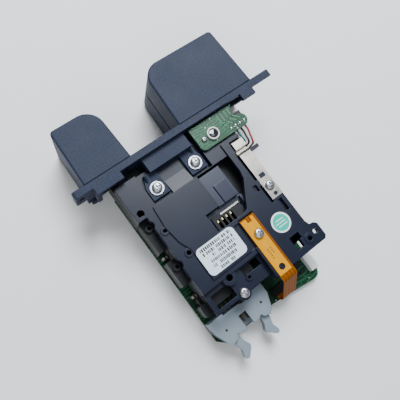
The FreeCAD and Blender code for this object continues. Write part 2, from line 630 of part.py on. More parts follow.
def terminal_notch():
    """The notch in the plus-X flank that leaves the front terminals of the board open."""
    return box("narrow_x + 0.3", "base_plus + 1", "terminal_front - 1.9", "terminal_front + 3.3")


def path_outline(inset="0"):
    return polygon((f"-(body_half - {inset})", BODY_REAR), (f"body_half - {inset}", BODY_REAR),
                   (f"body_half - {inset}", f"shoulder_y - {inset}"),
                   (f"base_plus - {inset}", f"shoulder_y - {inset}"),
                   (f"base_plus - {inset}", "base_narrow_y"),
                   (f"narrow_x - {inset}", "base_narrow_y"), (f"narrow_x - {inset}", f"base_rear - {inset}"),
                   (f"-(body_half - {inset})", f"base_rear - {inset}"))


def finger_window(front):
    """The opening that the carriage's finger swings through."""
    side = "finger_half + 0.8"
    return box(f"-finger_x - ({side})", f"-finger_x + {side}", front,
               f"{FINGER_REAR} + carriage_travel + 0.6")


def make_guide_plate():
    """The roof of the card path."""
    body = new_body("guide_plate")
    pad(body, [path_outline()], SLOT_HALF, GUIDE_TOP)
    pad(body, [disc(x, y, "guide_boss_r") for x, y in GUIDE_BOSSES], GUIDE_TOP, f"{GUIDE_TOP} + 1.8")
    pocket(body, [disc(x, y, "0.9") for x, y in GUIDE_BOSSES], SLOT_HALF, f"{GUIDE_TOP} + 1.8")
    pocket(body, [box("-block_minus - 0.6", "block_plus + 0.6", "block_front - 0.6",
                      "block_rear + carriage_travel + 0.8")], SLOT_HALF, GUIDE_TOP)
    pocket(body, [finger_window("block_rear + carriage_travel + 0.5")], SLOT_HALF, GUIDE_TOP)
    pocket(body, [terminal_notch()], SLOT_HALF, GUIDE_TOP)
    return body


def head_box(gap):
    """The magnetic head in plan, grown by a gap on each side."""
    half, deep = f"(head_width / 2 + {gap})", f"(head_length / 2 + {gap})"
    return box(f"-head_x - {half}", f"-head_x + {half}", f"head_y - {deep}", f"head_y + {deep}")


POSTS = [(x, y) for y in ("post_front", "post_rear") for x in ("post_x", "-post_x")]
SWITCHES = {"front": "front_switch_y", "rear": "rear_switch_y"}


def make_lower_frame():
    """The bed of the card path, an open tray below it, the head's well and the board posts."""
    body = new_body("lower_frame")
    pad(body, [path_outline()], BASE_LOW, SLOT_HALF)
    pocket(body, [box(minus(PATH_HALF), PATH_HALF, BODY_REAR, "base_rear")], minus(SLOT_HALF), SLOT_HALF)
    pocket(body, [polygon(("-(body_half - frame_wall)", f"{BODY_REAR} + frame_wall"),
                          ("narrow_x - frame_wall", f"{BODY_REAR} + frame_wall"),
                          ("narrow_x - frame_wall", "base_rear - frame_wall"),
                          ("-(body_half - frame_wall)", "base_rear - frame_wall"))], BASE_LOW, BED_LOW)
    pad(body, [disc(x, y, "post_r") for x, y in POSTS], BOARD_TOP, BED_LOW)
    pocket(body, [disc(x, y, "small_screw_r") for x, y in POSTS], BOARD_TOP, f"{BOARD_TOP} + 7")
    pad(body, [head_box("head_play + well_wall")], "-head_low", BED_LOW)
    pocket(body, [head_box("head_play")], BASE_LOW, SLOT_HALF)
    pocket(body, [finger_window("finger_front - 0.8")], BED_LOW, SLOT_HALF)
    for y in SWITCHES.values():
        half = "(lever_width / 2 + 0.5)"
        pocket(body, [box(f"switch_x - {half}", f"switch_x + {half}", f"{y} - 1.6",
                          f"{y} + lever_length + 1.2")], BED_LOW, SLOT_HALF)
    pad(body, [box("pillar_x - pillar_half", "pillar_x + pillar_half", "pillar_front", "pillar_rear")],
        BOARD_TOP, SLOT_HALF)
    round_off(body, "1.5", upright(*[(f"pillar_x + {way} * pillar_half", y)
                                     for way, y in ((1, "pillar_front"), (1, "pillar_rear"),
                                                    (-1, "pillar_rear"))]))
    for front, low, high in (("base_rear - 1", BED_LOW, SLOT_HALF),
                             ("base_rear + body_gap", SLOT_HALF, GUIDE_TOP)):
        pad(body, [box("rear_screw_x - rear_boss_r", "rear_screw_x + rear_boss_r", front,
                       "rear_screw_y + rear_boss_r")], low, high)
    pocket(body, [disc("rear_screw_x", "rear_screw_y", "small_screw_r")], BED_LOW, GUIDE_TOP)
    pad(body, [box("base_plus - skirt_wall", "base_plus", "body_front + 2", "base_narrow_y")],
        BOARD_TOP, BASE_LOW)
    pocket(body, [terminal_notch()], BOARD_TOP, SLOT_HALF)
    pocket(body, [box("-body_half", "-body_half + frame_wall", "sensor_rear + 5", "sensor_rear + 13")],
           BASE_LOW, f"{BASE_LOW} + 4.5")
    return body


# ---- contact carriage ----------------------------------------------------------------------------

def make_carriage():
    """The sliding carriage: the card pushes its finger, and it moves back and down to the card."""
    body = new_body("contact_carriage")
    floor_top = "carriage_low + carriage_wall"
    side_top = f"{PLATE_LOW} - 0.4"
    pad(body, [box("-carriage_minus", "carriage_plus", "carriage_front", "carriage_rear")],
        "carriage_low", floor_top)
    for outer, way in RAIL_SIDES:
        left, right = ordered(outer, f"{outer} - {way} * carriage_wall")
        pad(body, [box(left, right, "carriage_front + 1", "carriage_rear - 1")], floor_top, side_top)
    pad(body, [box("-facet_minus", "-facet_plus", "carriage_front - 1.8", "carriage_front")],
        "carriage_low", "facet_top")
    pad(body, [box("-facet_minus", "-facet_plus", "facet_front", "carriage_front - 1")],
        "facet_top - facet_thick", "facet_top")
    pad(body, [polygon(("-facet_minus + 1", "facet_top"), ("-ridge_x", "facet_top + ridge_rise"),
                       ("-ridge_x + 0.4", "facet_top"))], "carriage_front - 9.5", "carriage_front", "XZ")
    pad(body, [box("-finger_x - finger_half", "-finger_x + finger_half", "carriage_rear", FINGER_REAR)],
        "carriage_low", "carriage_low + 1")
    pad(body, [box("-finger_x - finger_half", "-finger_x + finger_half", "finger_front", FINGER_REAR)],
        "-finger_low", "carriage_low")
    pad(body, [box("-spring_x - spring_r - 0.4", "-spring_x + spring_r + 0.4",
                   f"{SPRING_FRONT} - carriage_wall", SPRING_FRONT)], floor_top, side_top)
    pocket(body, [box("-block_minus", "block_plus", "block_front", "block_rear")],
           "carriage_low", floor_top)
    pocket(body, [disc(y, "pin_rise", "pin_r") for y in PIN_PLACES],
           "-carriage_minus", "carriage_plus", "YZ")
    pins = new_body("carriage_pins")
    for outer, way in RAIL_SIDES:
        left, right = ordered(f"{outer} - {way} * carriage_wall", f"{outer} + {way} * (rail_gap + rail_thick)")
        pad(pins, [disc(y, "pin_rise", "pin_r") for y in PIN_PLACES], left, right, "YZ")
    return body


CONTACT_XS = [f"-contact_x + ({i} - 1.5) * contact_pitch" for i in range(4)]
CONTACT_YS = ("contact_y", "(contact_y + contact_rows)")


def make_contacts():
    """The insulating block and the eight sprung contacts it holds."""
    body = new_body("contact_block")
    pad(body, [box("-block_minus", "block_plus", "block_front", "block_rear")], "block_low", "block_top")
    pocket(body, [box(f"{x} - contact_slot / 2", f"{x} + contact_slot / 2", f"{y} - 2.3", f"{y} + 2.3")
                  for x in CONTACT_XS for y in CONTACT_YS], "block_low", "block_top")
    springs = new_body("contact_springs")
    for x in CONTACT_XS:
        pad(springs, [polygon((f"{y} - 2.3", "block_top - 1.6"), (f"{y} - 2.3", "block_top - 1.2"),
                              (f"{y} - 1.1", "block_top - 1.2"), (f"{y} + 0.1", "contact_tip + 0.5"),
                              (f"{y} + 1.7", "contact_tip + 2.2"), (f"{y} + 1.7", "contact_tip + 1.7"),
                              (f"{y} + 0.1", "contact_tip"), (f"{y} - 1.4", "block_top - 1.6"))
                      for y in CONTACT_YS], f"{x} - contact_width / 2", f"{x} + contact_width / 2", "YZ")
    bar = new_body("contact_bar")
    pad(bar, [box("-block_minus + 0.4", "-block_minus + 11.4", "block_front + 0.4", "block_front + 1.2")],
        "block_top", "block_top + 0.5")


def coil_spring(turns, radius, wire, length):
    """A closed coil wound from z = 0 to its length; made with Part's own functions."""
    pitch = (length - wire) / turns
    path = Part.makeHelix(pitch, length - wire, radius - wire / 2)
    start = V(radius - wire / 2, 0, 0)
    tangent = V(0, 2 * math.pi * (radius - wire / 2), pitch)
    section = Part.Wire([Part.makeCircle(wire / 2, start, tangent)])
    coil = Part.Wire(path.Edges).makePipeShell([section], True, True)
    coil.translate(V(0, 0, wire / 2))
    return coil


def feature_part(label, shape):
    item = doc.addObject("Part::Feature", "Shape")
    item.Shape = shape
    return finish_part(item, label)


def make_return_spring():
    """The spring that pushes the carriage back to the front."""
    coil = coil_spring(int(number("spring_coils")), number("spring_r"), number("spring_wire"),
                       number("spring_length") - 0.4)
    item = feature_part("carriage_spring", coil)
    item.Placement = FreeCAD.Placement(V(-number("spring_x"), number(SPRING_FRONT) + 0.3,
                                         number("spring_rise")),
                                       FreeCAD.Rotation(V(1, 0, 0), -90))


# ---- magnetic head and the switches that feel the card --------------------------------------------

def make_head():
    """The head in its well; the card pushes it down against two springs."""
    body = new_body("magnetic_head")
    half = "head_length / 2"
    left, right = "-head_x - head_width / 2", "-head_x + head_width / 2"
    pad(body, [polygon((f"head_y - {half}", "-head_low"), (f"head_y + {half}", "-head_low"),
                       (f"head_y + {half}", "-1.2"), (f"head_y + {half} - 2.6", "head_top - 0.2"),
                       ("head_y + 1", "head_top"), ("head_y - 1", "head_top"),
                       (f"head_y - {half} + 2.6", "head_top - 0.2"), (f"head_y - {half}", "-1.2"))],
        left, right, "YZ")
    low, high = -number("board_top"), -number("head_low")
    coils = []
    for way in (-1, 1):
        coil = coil_spring(5, number("head_spring_r"), number("head_spring_wire"), high - low)
        coil.translate(V(-number("head_x") + way * number("head_width / 2 - 2.2"), number("head_y"), low))
        coils.append(coil)
    feature_part("head_springs", Part.makeCompound(coils))
    rear = "head_y + head_length / 2 + 4.2"
    feature_part("head_ribbon", ribbon([("head_y + 2", "-head_low - 0.1"), (rear, "-head_low - 0.1"),
                                        (rear, "-board_top + 1"), (f"{rear} + 2.4", "-board_top + 1")],
                                       "-head_x", 6.0, 0.2, [0.9, 0.9]))
    socket = new_body("head_socket")
    pad(socket, [box("-head_x - 4.5", "-head_x + 4.5", f"{rear} + 2.4", f"{rear} + 6.4")],
        BOARD_TOP, f"{BOARD_TOP} + 1.6")


def bent_path(points, radii):
    """A path of straight runs joined by arcs that touch them; one radius for each bend."""
    spots = [V(*[number(value) for value in point]) for point in points]
    edges, start = [], spots[0]
    for i, radius in enumerate(radii, start=1):
        back = (spots[i - 1] - spots[i]).normalize()
        ahead = (spots[i + 1] - spots[i]).normalize()
        turn = back.getAngle(ahead)
        reach = radius / math.tan(turn / 2)
        first, last = spots[i] + back * reach, spots[i] + ahead * reach
        centre = spots[i] + (back + ahead).normalize() * (radius / math.sin(turn / 2))
        middle = centre + (spots[i] - centre).normalize() * radius
        edges += [Part.makeLine(start, first), Part.Arc(first, middle, last).toShape()]
        start = last
    edges.append(Part.makeLine(start, spots[-1]))
    return Part.Wire(edges)


def ribbon(points, x, width, thick, radii):
    """A flat strip that follows a path of y, z points, centred on x."""
    path = bent_path([(x, y, z) for y, z in points], radii)
    start = path.Edges[0].valueAt(path.Edges[0].FirstParameter)
    along = path.Edges[0].tangentAt(path.Edges[0].FirstParameter)
    side = V(width / 2, 0, 0)
    up = along.cross(V(1, 0, 0)) * (thick / 2)
    corners = [start - side - up, start + side - up, start + side + up, start - side + up]
    return path.makePipeShell([Part.makePolygon(corners + corners[:1])], True, False)


def wire(points, radius, bends):
    """A round wire along a path of x, y, z points."""
    path = bent_path(points, bends)
    first = path.Edges[0]
    start, along = first.valueAt(first.FirstParameter), first.tangentAt(first.FirstParameter)
    section = Part.Wire([Part.makeCircle(radius, start, along)])
    return path.makePipeShell([section], True, False)


def make_switches():
    """Two switches on the main board; the card tips the lever of each."""
    pivot = "-lever_pivot_low"
    side = "lever_width / 2"
    for which, y in SWITCHES.items():
        case = new_body(f"{which}_switch")
        pad(case, [box("switch_x - 2.6", "switch_x + 2.6", f"{y} - 1.5", f"{y} + 7.5")],
            BOARD_TOP, "-lever_pivot_low - 2.4")
        for way in (-1, 1):
            cheek = ordered(f"switch_x + {way} * ({side} + 0.3)", f"switch_x + {way} * ({side} + 1.1)")
            pad(case, [polygon((f"{y} - 1.4", f"{pivot} - 2.4"), (f"{y} + 1.4", f"{pivot} - 2.4"),
                               (f"{y} + 0.9", f"{pivot} + 0.9"), (f"{y} - 0.9", f"{pivot} + 0.9"))],
                *cheek, "YZ")
        pad(case, [disc(y, pivot, "lever_pin_r")], f"switch_x - {side} - 0.4", f"switch_x + {side} + 0.4", "YZ")
        lever = new_body(f"{which}_lever")
        span = (f"switch_x - {side}", f"switch_x + {side}")
        pad(lever, [polygon((f"{y} - 0.2", f"{pivot} - 1.1"), (f"{y} + lever_length - 0.8", "-1.6"),
                            (f"{y} + lever_length", "lever_tip - 0.4"),
                            (f"{y} + lever_length - 0.5", "lever_tip"),
                            (f"{y} + lever_length - 1.6", "lever_tip - 0.3"),
                            (f"{y} - 0.5", f"{pivot} + 1"))], *span, "YZ")
        pad(lever, [disc(y, pivot, "lever_pin_r + 0.7")], *span, "YZ")
        pocket(lever, [disc(y, pivot, "lever_pin_r + lever_play")], *span, "YZ")


# ---- main board and what stands on it ---------------------------------------------------------------

def make_main_board():
    body = new_body("main_board")
    low = "-board_top - board_thick"
    pad(body, [polygon(("-body_half", "board_front"), ("body_half", "board_front"),
                       ("body_half", "board_step - board_cut"), ("body_half - board_cut", "board_step"),
                       ("-board_step_x", "board_step"), ("-body_half", "board_rear"))], low, BOARD_TOP)
    round_off(body, "board_round", upright(("-body_half", "board_rear")))
    pocket(body, [disc(x, y, "small_screw_r + 0.2") for x, y in POSTS], low, BOARD_TOP)
    group("board_screws", [cross_screw(x, y, f"({low})", "small_screw_r", "small_head_r", "small_head",
                                       "screw_reach", down=False) for x, y in POSTS])
    group("board_terminals", [
        block(f"{x} - 0.3", f"{x} + 0.3", y, f"{y} + 1.4", BOARD_TOP, "-terminal_top")
        for x, y in (("narrow_x + 1.3", "terminal_front"), ("narrow_x + 2.9", "terminal_front"),
                     ("narrow_x + 0.8", "terminal_rear"), ("narrow_x + 2.4", "terminal_rear"))])
    group("board_chips", [
        block(f"{x} - {width} / 2", f"{x} + {width} / 2", f"{y} - {depth} / 2", f"{y} + {depth} / 2",
              BOARD_TOP, f"{BOARD_TOP} + {height}")
        for x, y, width, depth, height in ((-24.5, 92.8, 3.2, 1.6, 0.9), (-20.5, 92.8, 3.2, 1.6, 0.9),
                                           (-24.5, 88.6, 3.0, 3.0, 1.0), (-18.5, 87.6, 1.6, 0.9, 0.7),
                                           (-2.8, 84.6, 1.6, 0.9, 0.7))])
    group("board_processor", [
        block(f"{x} - {width} / 2", f"{x} + {width} / 2", f"{y} - {depth} / 2", f"{y} + {depth} / 2",
              f"({low}) - {height}", low)
        for x, y, width, depth, height in ((2.0, 46.0, 12.0, 12.0, 1.4), (-16.0, 62.0, 6.2, 5.0, 1.5),
                                           (14.0, 62.0, 5.0, 6.2, 1.5))])
    socket = new_body("side_socket")
    pad(socket, [box("-body_half", "-body_half + 4.4", "board_rear - 15", "board_rear - 5")],
        BOARD_TOP, f"{BOARD_TOP} + 4")
    pocket(socket, [box("-body_half - 1", "-body_half + 3.4", "board_rear - 14", "board_rear - 6")],
           f"{BOARD_TOP} + 0.8", f"{BOARD_TOP} + 3.2")
    flex = new_body("flex_socket")
    pad(flex, [box("-flex_x - socket_width / 2", "-flex_x + socket_width / 2",
                   "flex_low_y - 2.4 - socket_depth", "flex_low_y - 2.4")],
        BOARD_TOP, f"{BOARD_TOP} + socket_rise")


# ---- header with ejector latches ---------------------------------------------------------------------

def mirrored(points):
    """The points and their mirror images about the header's middle, as one closed outline."""
    right = [(f"header_x + {u}", y) for u, y in points]
    left = [(f"header_x - {u}", y) for u, y in reversed(points)]
    return polygon(*right, *left)


def make_header():
    body = new_body("header")
    low, high = BOARD_TOP, "-header_top"
    front, rear = "header_front", "header_rear"
    pad(body, [mirrored([("8", front), ("8", f"{front} - 1"), ("ear_half", f"{front} - 1"),
                         ("ear_half", f"{front} + 4.5"), ("(ear_half - 2.8)", rear),
                         ("(ear_half - 4.8)", f"{rear} + 1.7"), ("8.2", f"{rear} + 0.7"),
                         ("7.2", f"{rear} - 1.1"), ("5.5", rear), ("3", rear)])], low, high)
    pocket(body, [box("header_x - cavity_half", "header_x + cavity_half", f"{front} + header_back",
                      f"{rear} + 3")], f"{low} + header_wall", "-header_top - header_wall")
    pocket(body, [box("header_x - key_half", "header_x + key_half", "key_front", f"{rear} + 3")],
           "-header_top - header_wall", high)
    half = "header_pin / 2"
    pocket(body, [box(f"{x} - {half}", f"{x} + {half}", f"{z} - {half}", f"{z} + {half}")
                  for x in header_pin_xs() for _, z in HEADER_ROWS], front, f"{front} + header_back", "XZ")
    middle = "(header_top + board_top) / 2"
    slot = "(latch_thick / 2 + ear_slot_play)"
    ears = [box(*ordered(f"header_x + {way} * (cavity_half - 1)", f"header_x + {way} * (ear_half + 1)"),
                "latch_y - latch_base_r - 0.4", f"{rear} + 3") for way in (-1, 1)]
    pocket(body, ears, f"-{middle} - {slot}", f"-{middle} + {slot}")
    xs = [f"header_x + {way} * latch_x" for way in (-1, 1)]
    pin_ends = (f"-{middle} - {slot} - 1", f"-{middle} + {slot} + 1")
    pocket(body, [disc(x, "latch_y", "latch_pin_r") for x in xs], *pin_ends)
    group("latch_pins", [cylinder("latch_pin_r", *pin_ends, x, "latch_y") for x in xs])
    for label, way in (("latch_plus", 1), ("latch_minus", -1)):
        latch = new_body(label)
        ends = (f"-{middle} - latch_thick / 2", f"-{middle} + latch_thick / 2")
        pad(latch, [polygon(*[(f"header_x + {way} * (latch_x + {u})", f"latch_y + {v}")
                              for u, v in ((-2.9, 1.5), (-4.4, 9.4), (-5.8, 12.0), (-5.4, 13.4),
                                           (-2.1, 16.7), (-0.5, 16.9), (0.0, 15.2), (-1.1, 12.1),
                                           (0.3, 6.8), (2.6, 1.5))])], *ends)
        pad(latch, [disc(f"header_x + {way} * latch_x", "latch_y", "latch_base_r")], *ends)
        round_off(latch, "0.8", upright(*[(f"header_x + {way} * (latch_x + {u})", f"latch_y + {v}")
                                          for u, v in ((-5.8, 12.0), (-2.1, 16.7), (-0.5, 16.9))]))
        pocket(latch, [disc(f"header_x + {way} * latch_x", "latch_y", "latch_pin_r + latch_play")], *ends)
    make_header_pins()


HEADER_ROWS = (("tail_y", "-board_top + 3.3"),
               ("tail_y - header_pitch", "-board_top + 3.3 + header_pitch"))


def header_pin_xs():
    return [f"header_x + ({i} - (header_pins - 1) / 2) * header_pitch"
            for i in range(int(number("header_pins")))]


def make_header_pins():
    """Two rows of square pins, bent down to the board behind the header."""
    body = new_body("header_pins")
    half = "header_pin / 2"
    for x in header_pin_xs():
        pad(body, [polygon((f"{y} - {half}", BOARD_TOP), (f"{y} + {half}", BOARD_TOP),
                           (f"{y} + {half}", f"{z} - {half}"), ("header_rear - 2.6", f"{z} - {half}"),
                           ("header_rear - 2.6", f"{z} + {half}"), (f"{y} - {half}", f"{z} + {half}"))
                   for y, z in HEADER_ROWS], f"{x} - {half}", f"{x} + {half}", "YZ")


# ---- front sensor board ------------------------------------------------------------------------------

WIRE_NAMES = ("wire_teal", "wire_black", "wire_red")


def make_sensor_board():
    body = new_body("sensor_board")
    top = "sensor_low + sensor_thick"
    pad(body, [polygon(("-sensor_plus", "sensor_front"), ("-sensor_plus", "sensor_rear"),
                       ("-lobe_x", "sensor_rear"), ("-lobe_x", "lobe_y - lobe_r"),
                       ("-sensor_minus + 1.6", "lobe_y - lobe_r"), ("-sensor_minus", "lobe_y - lobe_r - 1.6"),
                       ("-sensor_minus", "sensor_front + 2.6"), ("-sensor_minus - 2.4", "sensor_front"))],
        "sensor_low", top)
    pad(body, [disc("-lobe_x", "lobe_y", "lobe_r")], "sensor_low", top)
    round_off(body, "2.4", upright(("-sensor_plus", "sensor_rear")))
    pocket(body, [disc("-sensor_screw_x", "sensor_screw_y", "sensor_screw_r + 0.1")], "sensor_low", top)
    group("sensor_screw", [cross_screw("-sensor_screw_x", "sensor_screw_y", f"({top})", "sensor_screw_r",
                                       "sensor_head_r", "1.1", "sensor_thick + 2.2")])
    group("sensor_lamp_ring", [cut(
        cylinder("lamp_r", top, f"{top} + lamp_rise", "-lamp_x", "lamp_y"),
        cylinder("lamp_bore", f"{top} - 1", f"{top} + lamp_rise + 1", "-lamp_x", "lamp_y"))])
    group("sensor_lamp", [cylinder("lamp_bore", top, f"{top} + lamp_rise - 0.4", "-lamp_x", "lamp_y")])
    group("sensor_pads", [cylinder("pad_r", top, f"{top} + 0.25", f"-pad_x - {i} * pad_pitch", "pad_y")
                          for i in range(4)])
    plug = new_body("sensor_plug")
    plug_left, plug_rear = "-body_half - 8.5", "lobe_y + 2.7"
    pad(plug, [box(plug_left, "-body_half - 0.2", "sensor_front + 4.6", plug_rear)],
        "sensor_low - 4", "sensor_low")
    socket = new_body("sensor_socket")
    socket_left, socket_front = "-body_half + 0.7", "sensor_rear + 5.4"
    pad(socket, [box(socket_left, f"{socket_left} + 4.4", socket_front, f"{socket_front} + 5")],
        BOARD_TOP, f"{BOARD_TOP} + 3.4")
    height = f"{BOARD_TOP} + 1.9"
    for i, name in enumerate(WIRE_NAMES):
        start_x = f"-body_half - 1.9 - {i} * pad_pitch"
        fall_x = f"-body_half - 2.1 - {i} * 1.5"
        fall_y = f"{socket_front} + 1.1 + {i} * 1.4"
        points = [(start_x, plug_rear, "sensor_low - 2"), (start_x, f"{plug_rear} + 2.6", "sensor_low - 2"),
                  (fall_x, fall_y, "sensor_low - 2"), (fall_x, fall_y, height),
                  (socket_left, fall_y, height)]
        feature_part(name, wire(points, number("wire_r"), [1.6, 1.6, 1.2]))


# ---- ground strip, flat cable and their screws ---------------------------------------------------------

def make_ground_strip():
    body = new_body("ground_strip")
    low, high = "top_high", "top_high + strip_thick"
    tab = "strip_tab"
    pad(body, [polygon(("strip_rear", low), ("strip_rear", high), ("strip_front", high),
                       ("strip_front - 1.4", f"{low} - 1.0"), ("strip_front - 2.6", f"{low} - 1.0"),
                       ("strip_front - 3.3", f"{high} + 0.8"), (f"{tab} + 0.7", f"{high} + 0.8"),
                       (f"{tab} - 0.2", f"{low} - 1.3"), (f"{tab} + 0.2", f"{low} - 1.4"),
                       (f"{tab} + 1", f"{low} + 0.8"), ("strip_front - 3.6", f"{low} + 0.8"),
                       ("strip_front - 2.9", f"{low} - 1.4"), ("strip_front - 1.2", f"{low} - 1.4"),
                       ("strip_front + 0.2", low))],
        "-strip_x - strip_width / 2", "-strip_x + strip_width / 2", "YZ")
    pocket(body, [box("-strip_x - 1.6", "-strip_x + 1.6", "strip_slot_y - 1.1", "strip_slot_y + 1.1"),
                  disc("-strip_x", "strip_screw_y", "small_screw_r + 0.1"),
                  disc("-strip_x", "strip_hole_y", "1.0")], low, high)
    group("strip_screw", [cross_screw("-strip_x", "strip_screw_y", f"({high})", "small_screw_r",
                                      "small_head_r", "small_head", "strip_thick + 2.6")])


def make_flat_cable():
    """The flat cable from the contacts over the frame and down to its socket, with a stiffener."""
    middle = "top_high + flex_thick / 2"
    low = "-board_top + 1.3"
    shape = ribbon([("flex_front", "top_high - 1.4"), ("flex_front", middle), ("flex_top_rear + 1.5", middle),
                    ("flex_low_y", "-6.5"), ("flex_low_y", low), ("flex_low_y - 2.4", low)],
                   "-flex_x", number("flex_width"), number("flex_thick"),
                   [0.6, number("flex_bend"), number("flex_bend"), 1.3])
    holes = [Part.makeCylinder(number(radius), 3, V(number(x), number(y), number("top_high") - 1))
             for x, y, radius in (("-flex_x", "flex_screw_y", "small_screw_r + 0.1"),
                                  ("-flex_x + 0.5", "flex_hole_y", "flex_hole_r"))]
    feature_part("flat_cable", shape.cut(Part.makeCompound(holes)))
    body = new_body("cable_stiffener")
    left, right = "-stiffener_x - stiffener_width / 2", "-stiffener_x + stiffener_width / 2"
    base, top = "top_high + flex_thick", "top_high + flex_thick + stiffener_thick"
    pad(body, [box(left, right, "stiffener_front", "stiffener_rear")], base, top)
    pocket(body, [box("-flex_x - 1.2", "-flex_x + 1.2", "stiffener_front - 1", "stiffener_front + 2.2"),
                  disc("-flex_x", "flex_screw_y", "small_screw_r + 0.1"),
                  disc("-flex_x + 0.5", "flex_hole_y", "flex_hole_r")], base, top)
    group("cable_screw", [cross_screw("-flex_x", "flex_screw_y", f"({top})", "small_screw_r",
                                      "small_head_r", "small_head", "flex_thick + stiffener_thick + 2.6")])


def make_small_parts():
    """The frame's rear screw, the label and the round sticker."""
    group("rear_screw", [cross_screw("rear_screw_x", "rear_screw_y", "deck_top", "small_screw_r",
                                     "small_head_r", "small_head", "deck_top + 2")])
    label = new_body("label")
    sides = [(f"label_x + {a} * label_width / 2", f"label_y + {b} * label_depth / 2")
             for a, b in ((-1, -1), (1, -1), (1, 1), (-1, 1))]
    pad(label, [polygon(*sides)], "top_high", "top_high + paper")
    round_off(label, "label_round", standing())
    group("sticker", [cylinder("sticker_r", "top_high", "top_high + paper", "-sticker_x", "sticker_y")])


def standing():
    """Picks every edge that stands along Z."""
    def wanted(edge):
        ends = [vertex.Point for vertex in edge.Vertexes]
        return len(ends) == 2 and math.hypot(ends[0].x - ends[1].x, ends[0].y - ends[1].y) < 0.001
    return wanted


# ---- build, check and export -----------------------------------------------------------------------------

def build():
    make_bezel()
    make_upper_frame()
    make_guide_plate()
    make_lower_frame()
    make_carriage()
    make_contacts()
    make_return_spring()
    make_head()
    make_switches()
    make_main_board()
    make_header()
    make_sensor_board()
    make_ground_strip()
    make_flat_cable()
    make_small_parts()
    doc.recompute()


def check_and_export():
    for item in doc.Objects:
        if any(word in state for state in item.State for word in ("Invalid", "Error")):
            raise RuntimeError(f"{item.Name} ({item.Label}) is {item.State}")
    os.makedirs("parts", exist_ok=True)
    for item in PARTS:
        shape = item.Shape
        if shape.isNull() or not shape.isValid() or not shape.Solids:
            raise RuntimeError(f"{item.Label} has no valid solid")
        shape.exportStep(f"parts/{item.Label}.step")
        print(item.Label, len(shape.Solids), round(shape.Volume, 1))


build()
check_and_export()
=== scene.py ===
"""Looks of a manual insertion card reader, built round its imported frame.

Every length is in metres, in the row frame: +X across the card towards the small horn,
+Y into the machine, +Z up, away from the main board.
"""
import math
import random

import bmesh
import bpy
from bpy.props import FloatProperty, FloatVectorProperty, IntProperty, PointerProperty
from mathutils import Matrix, Vector


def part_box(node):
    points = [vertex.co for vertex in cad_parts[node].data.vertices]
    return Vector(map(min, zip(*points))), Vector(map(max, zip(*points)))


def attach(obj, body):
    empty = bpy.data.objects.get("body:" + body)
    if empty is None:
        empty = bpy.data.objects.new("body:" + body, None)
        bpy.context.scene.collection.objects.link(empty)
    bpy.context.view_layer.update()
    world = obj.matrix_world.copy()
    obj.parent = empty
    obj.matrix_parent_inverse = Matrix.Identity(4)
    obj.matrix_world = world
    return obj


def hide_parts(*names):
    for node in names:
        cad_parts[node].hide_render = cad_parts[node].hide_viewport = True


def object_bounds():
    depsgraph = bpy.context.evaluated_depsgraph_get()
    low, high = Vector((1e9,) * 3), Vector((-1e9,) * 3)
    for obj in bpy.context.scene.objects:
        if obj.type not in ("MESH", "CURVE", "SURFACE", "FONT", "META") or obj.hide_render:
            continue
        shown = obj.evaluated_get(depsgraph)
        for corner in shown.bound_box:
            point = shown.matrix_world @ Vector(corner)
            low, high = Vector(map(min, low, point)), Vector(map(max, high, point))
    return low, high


bl_info = {
    "name": "Card Reader Looks",
    "version": (1, 0, 0),
    "blender": (4, 5, 0),
    "location": "View3D > Sidebar > Card Reader",
    "description": "Finishes and small details of a manual insertion card reader",
    "category": "Object",
}

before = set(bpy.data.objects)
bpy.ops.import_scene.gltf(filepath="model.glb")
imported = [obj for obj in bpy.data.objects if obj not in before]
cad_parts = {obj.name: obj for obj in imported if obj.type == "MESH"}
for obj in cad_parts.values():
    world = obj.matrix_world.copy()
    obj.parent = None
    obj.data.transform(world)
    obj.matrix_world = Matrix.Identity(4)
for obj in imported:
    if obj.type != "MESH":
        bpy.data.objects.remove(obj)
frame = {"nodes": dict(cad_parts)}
CAD_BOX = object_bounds()
MM = 0.001
ROOT = "reader"
SUNK = 0.01 * MM      # how far a print reaches into the piece under it
DEEP = 0.02 * MM      # the same for a disc, which also covers an edge
NOISE_RANGE = (0.3, 0.7)      # where a noise's values mostly lie
# Factors on the place that a metal's lines are read from: none, or drawn out along Y.
EVEN = (1.0, 1.0, 1.0)
ALONG_Y = (1.0, 0.06, 1.0)


# ---- settings ------------------------------------------------------------------------------

def colour(name, description, default):
    return FloatVectorProperty(name=name, description=description, subtype="COLOR", size=3,
                               min=0.0, max=1.0, default=default)


def length(name, description, default):
    return FloatProperty(name=name, description=description, unit="LENGTH", min=0.0,
                         default=default)


def number(name, description, default, low=0.0, high=1000.0):
    return FloatProperty(name=name, description=description, min=low, max=high, default=default)


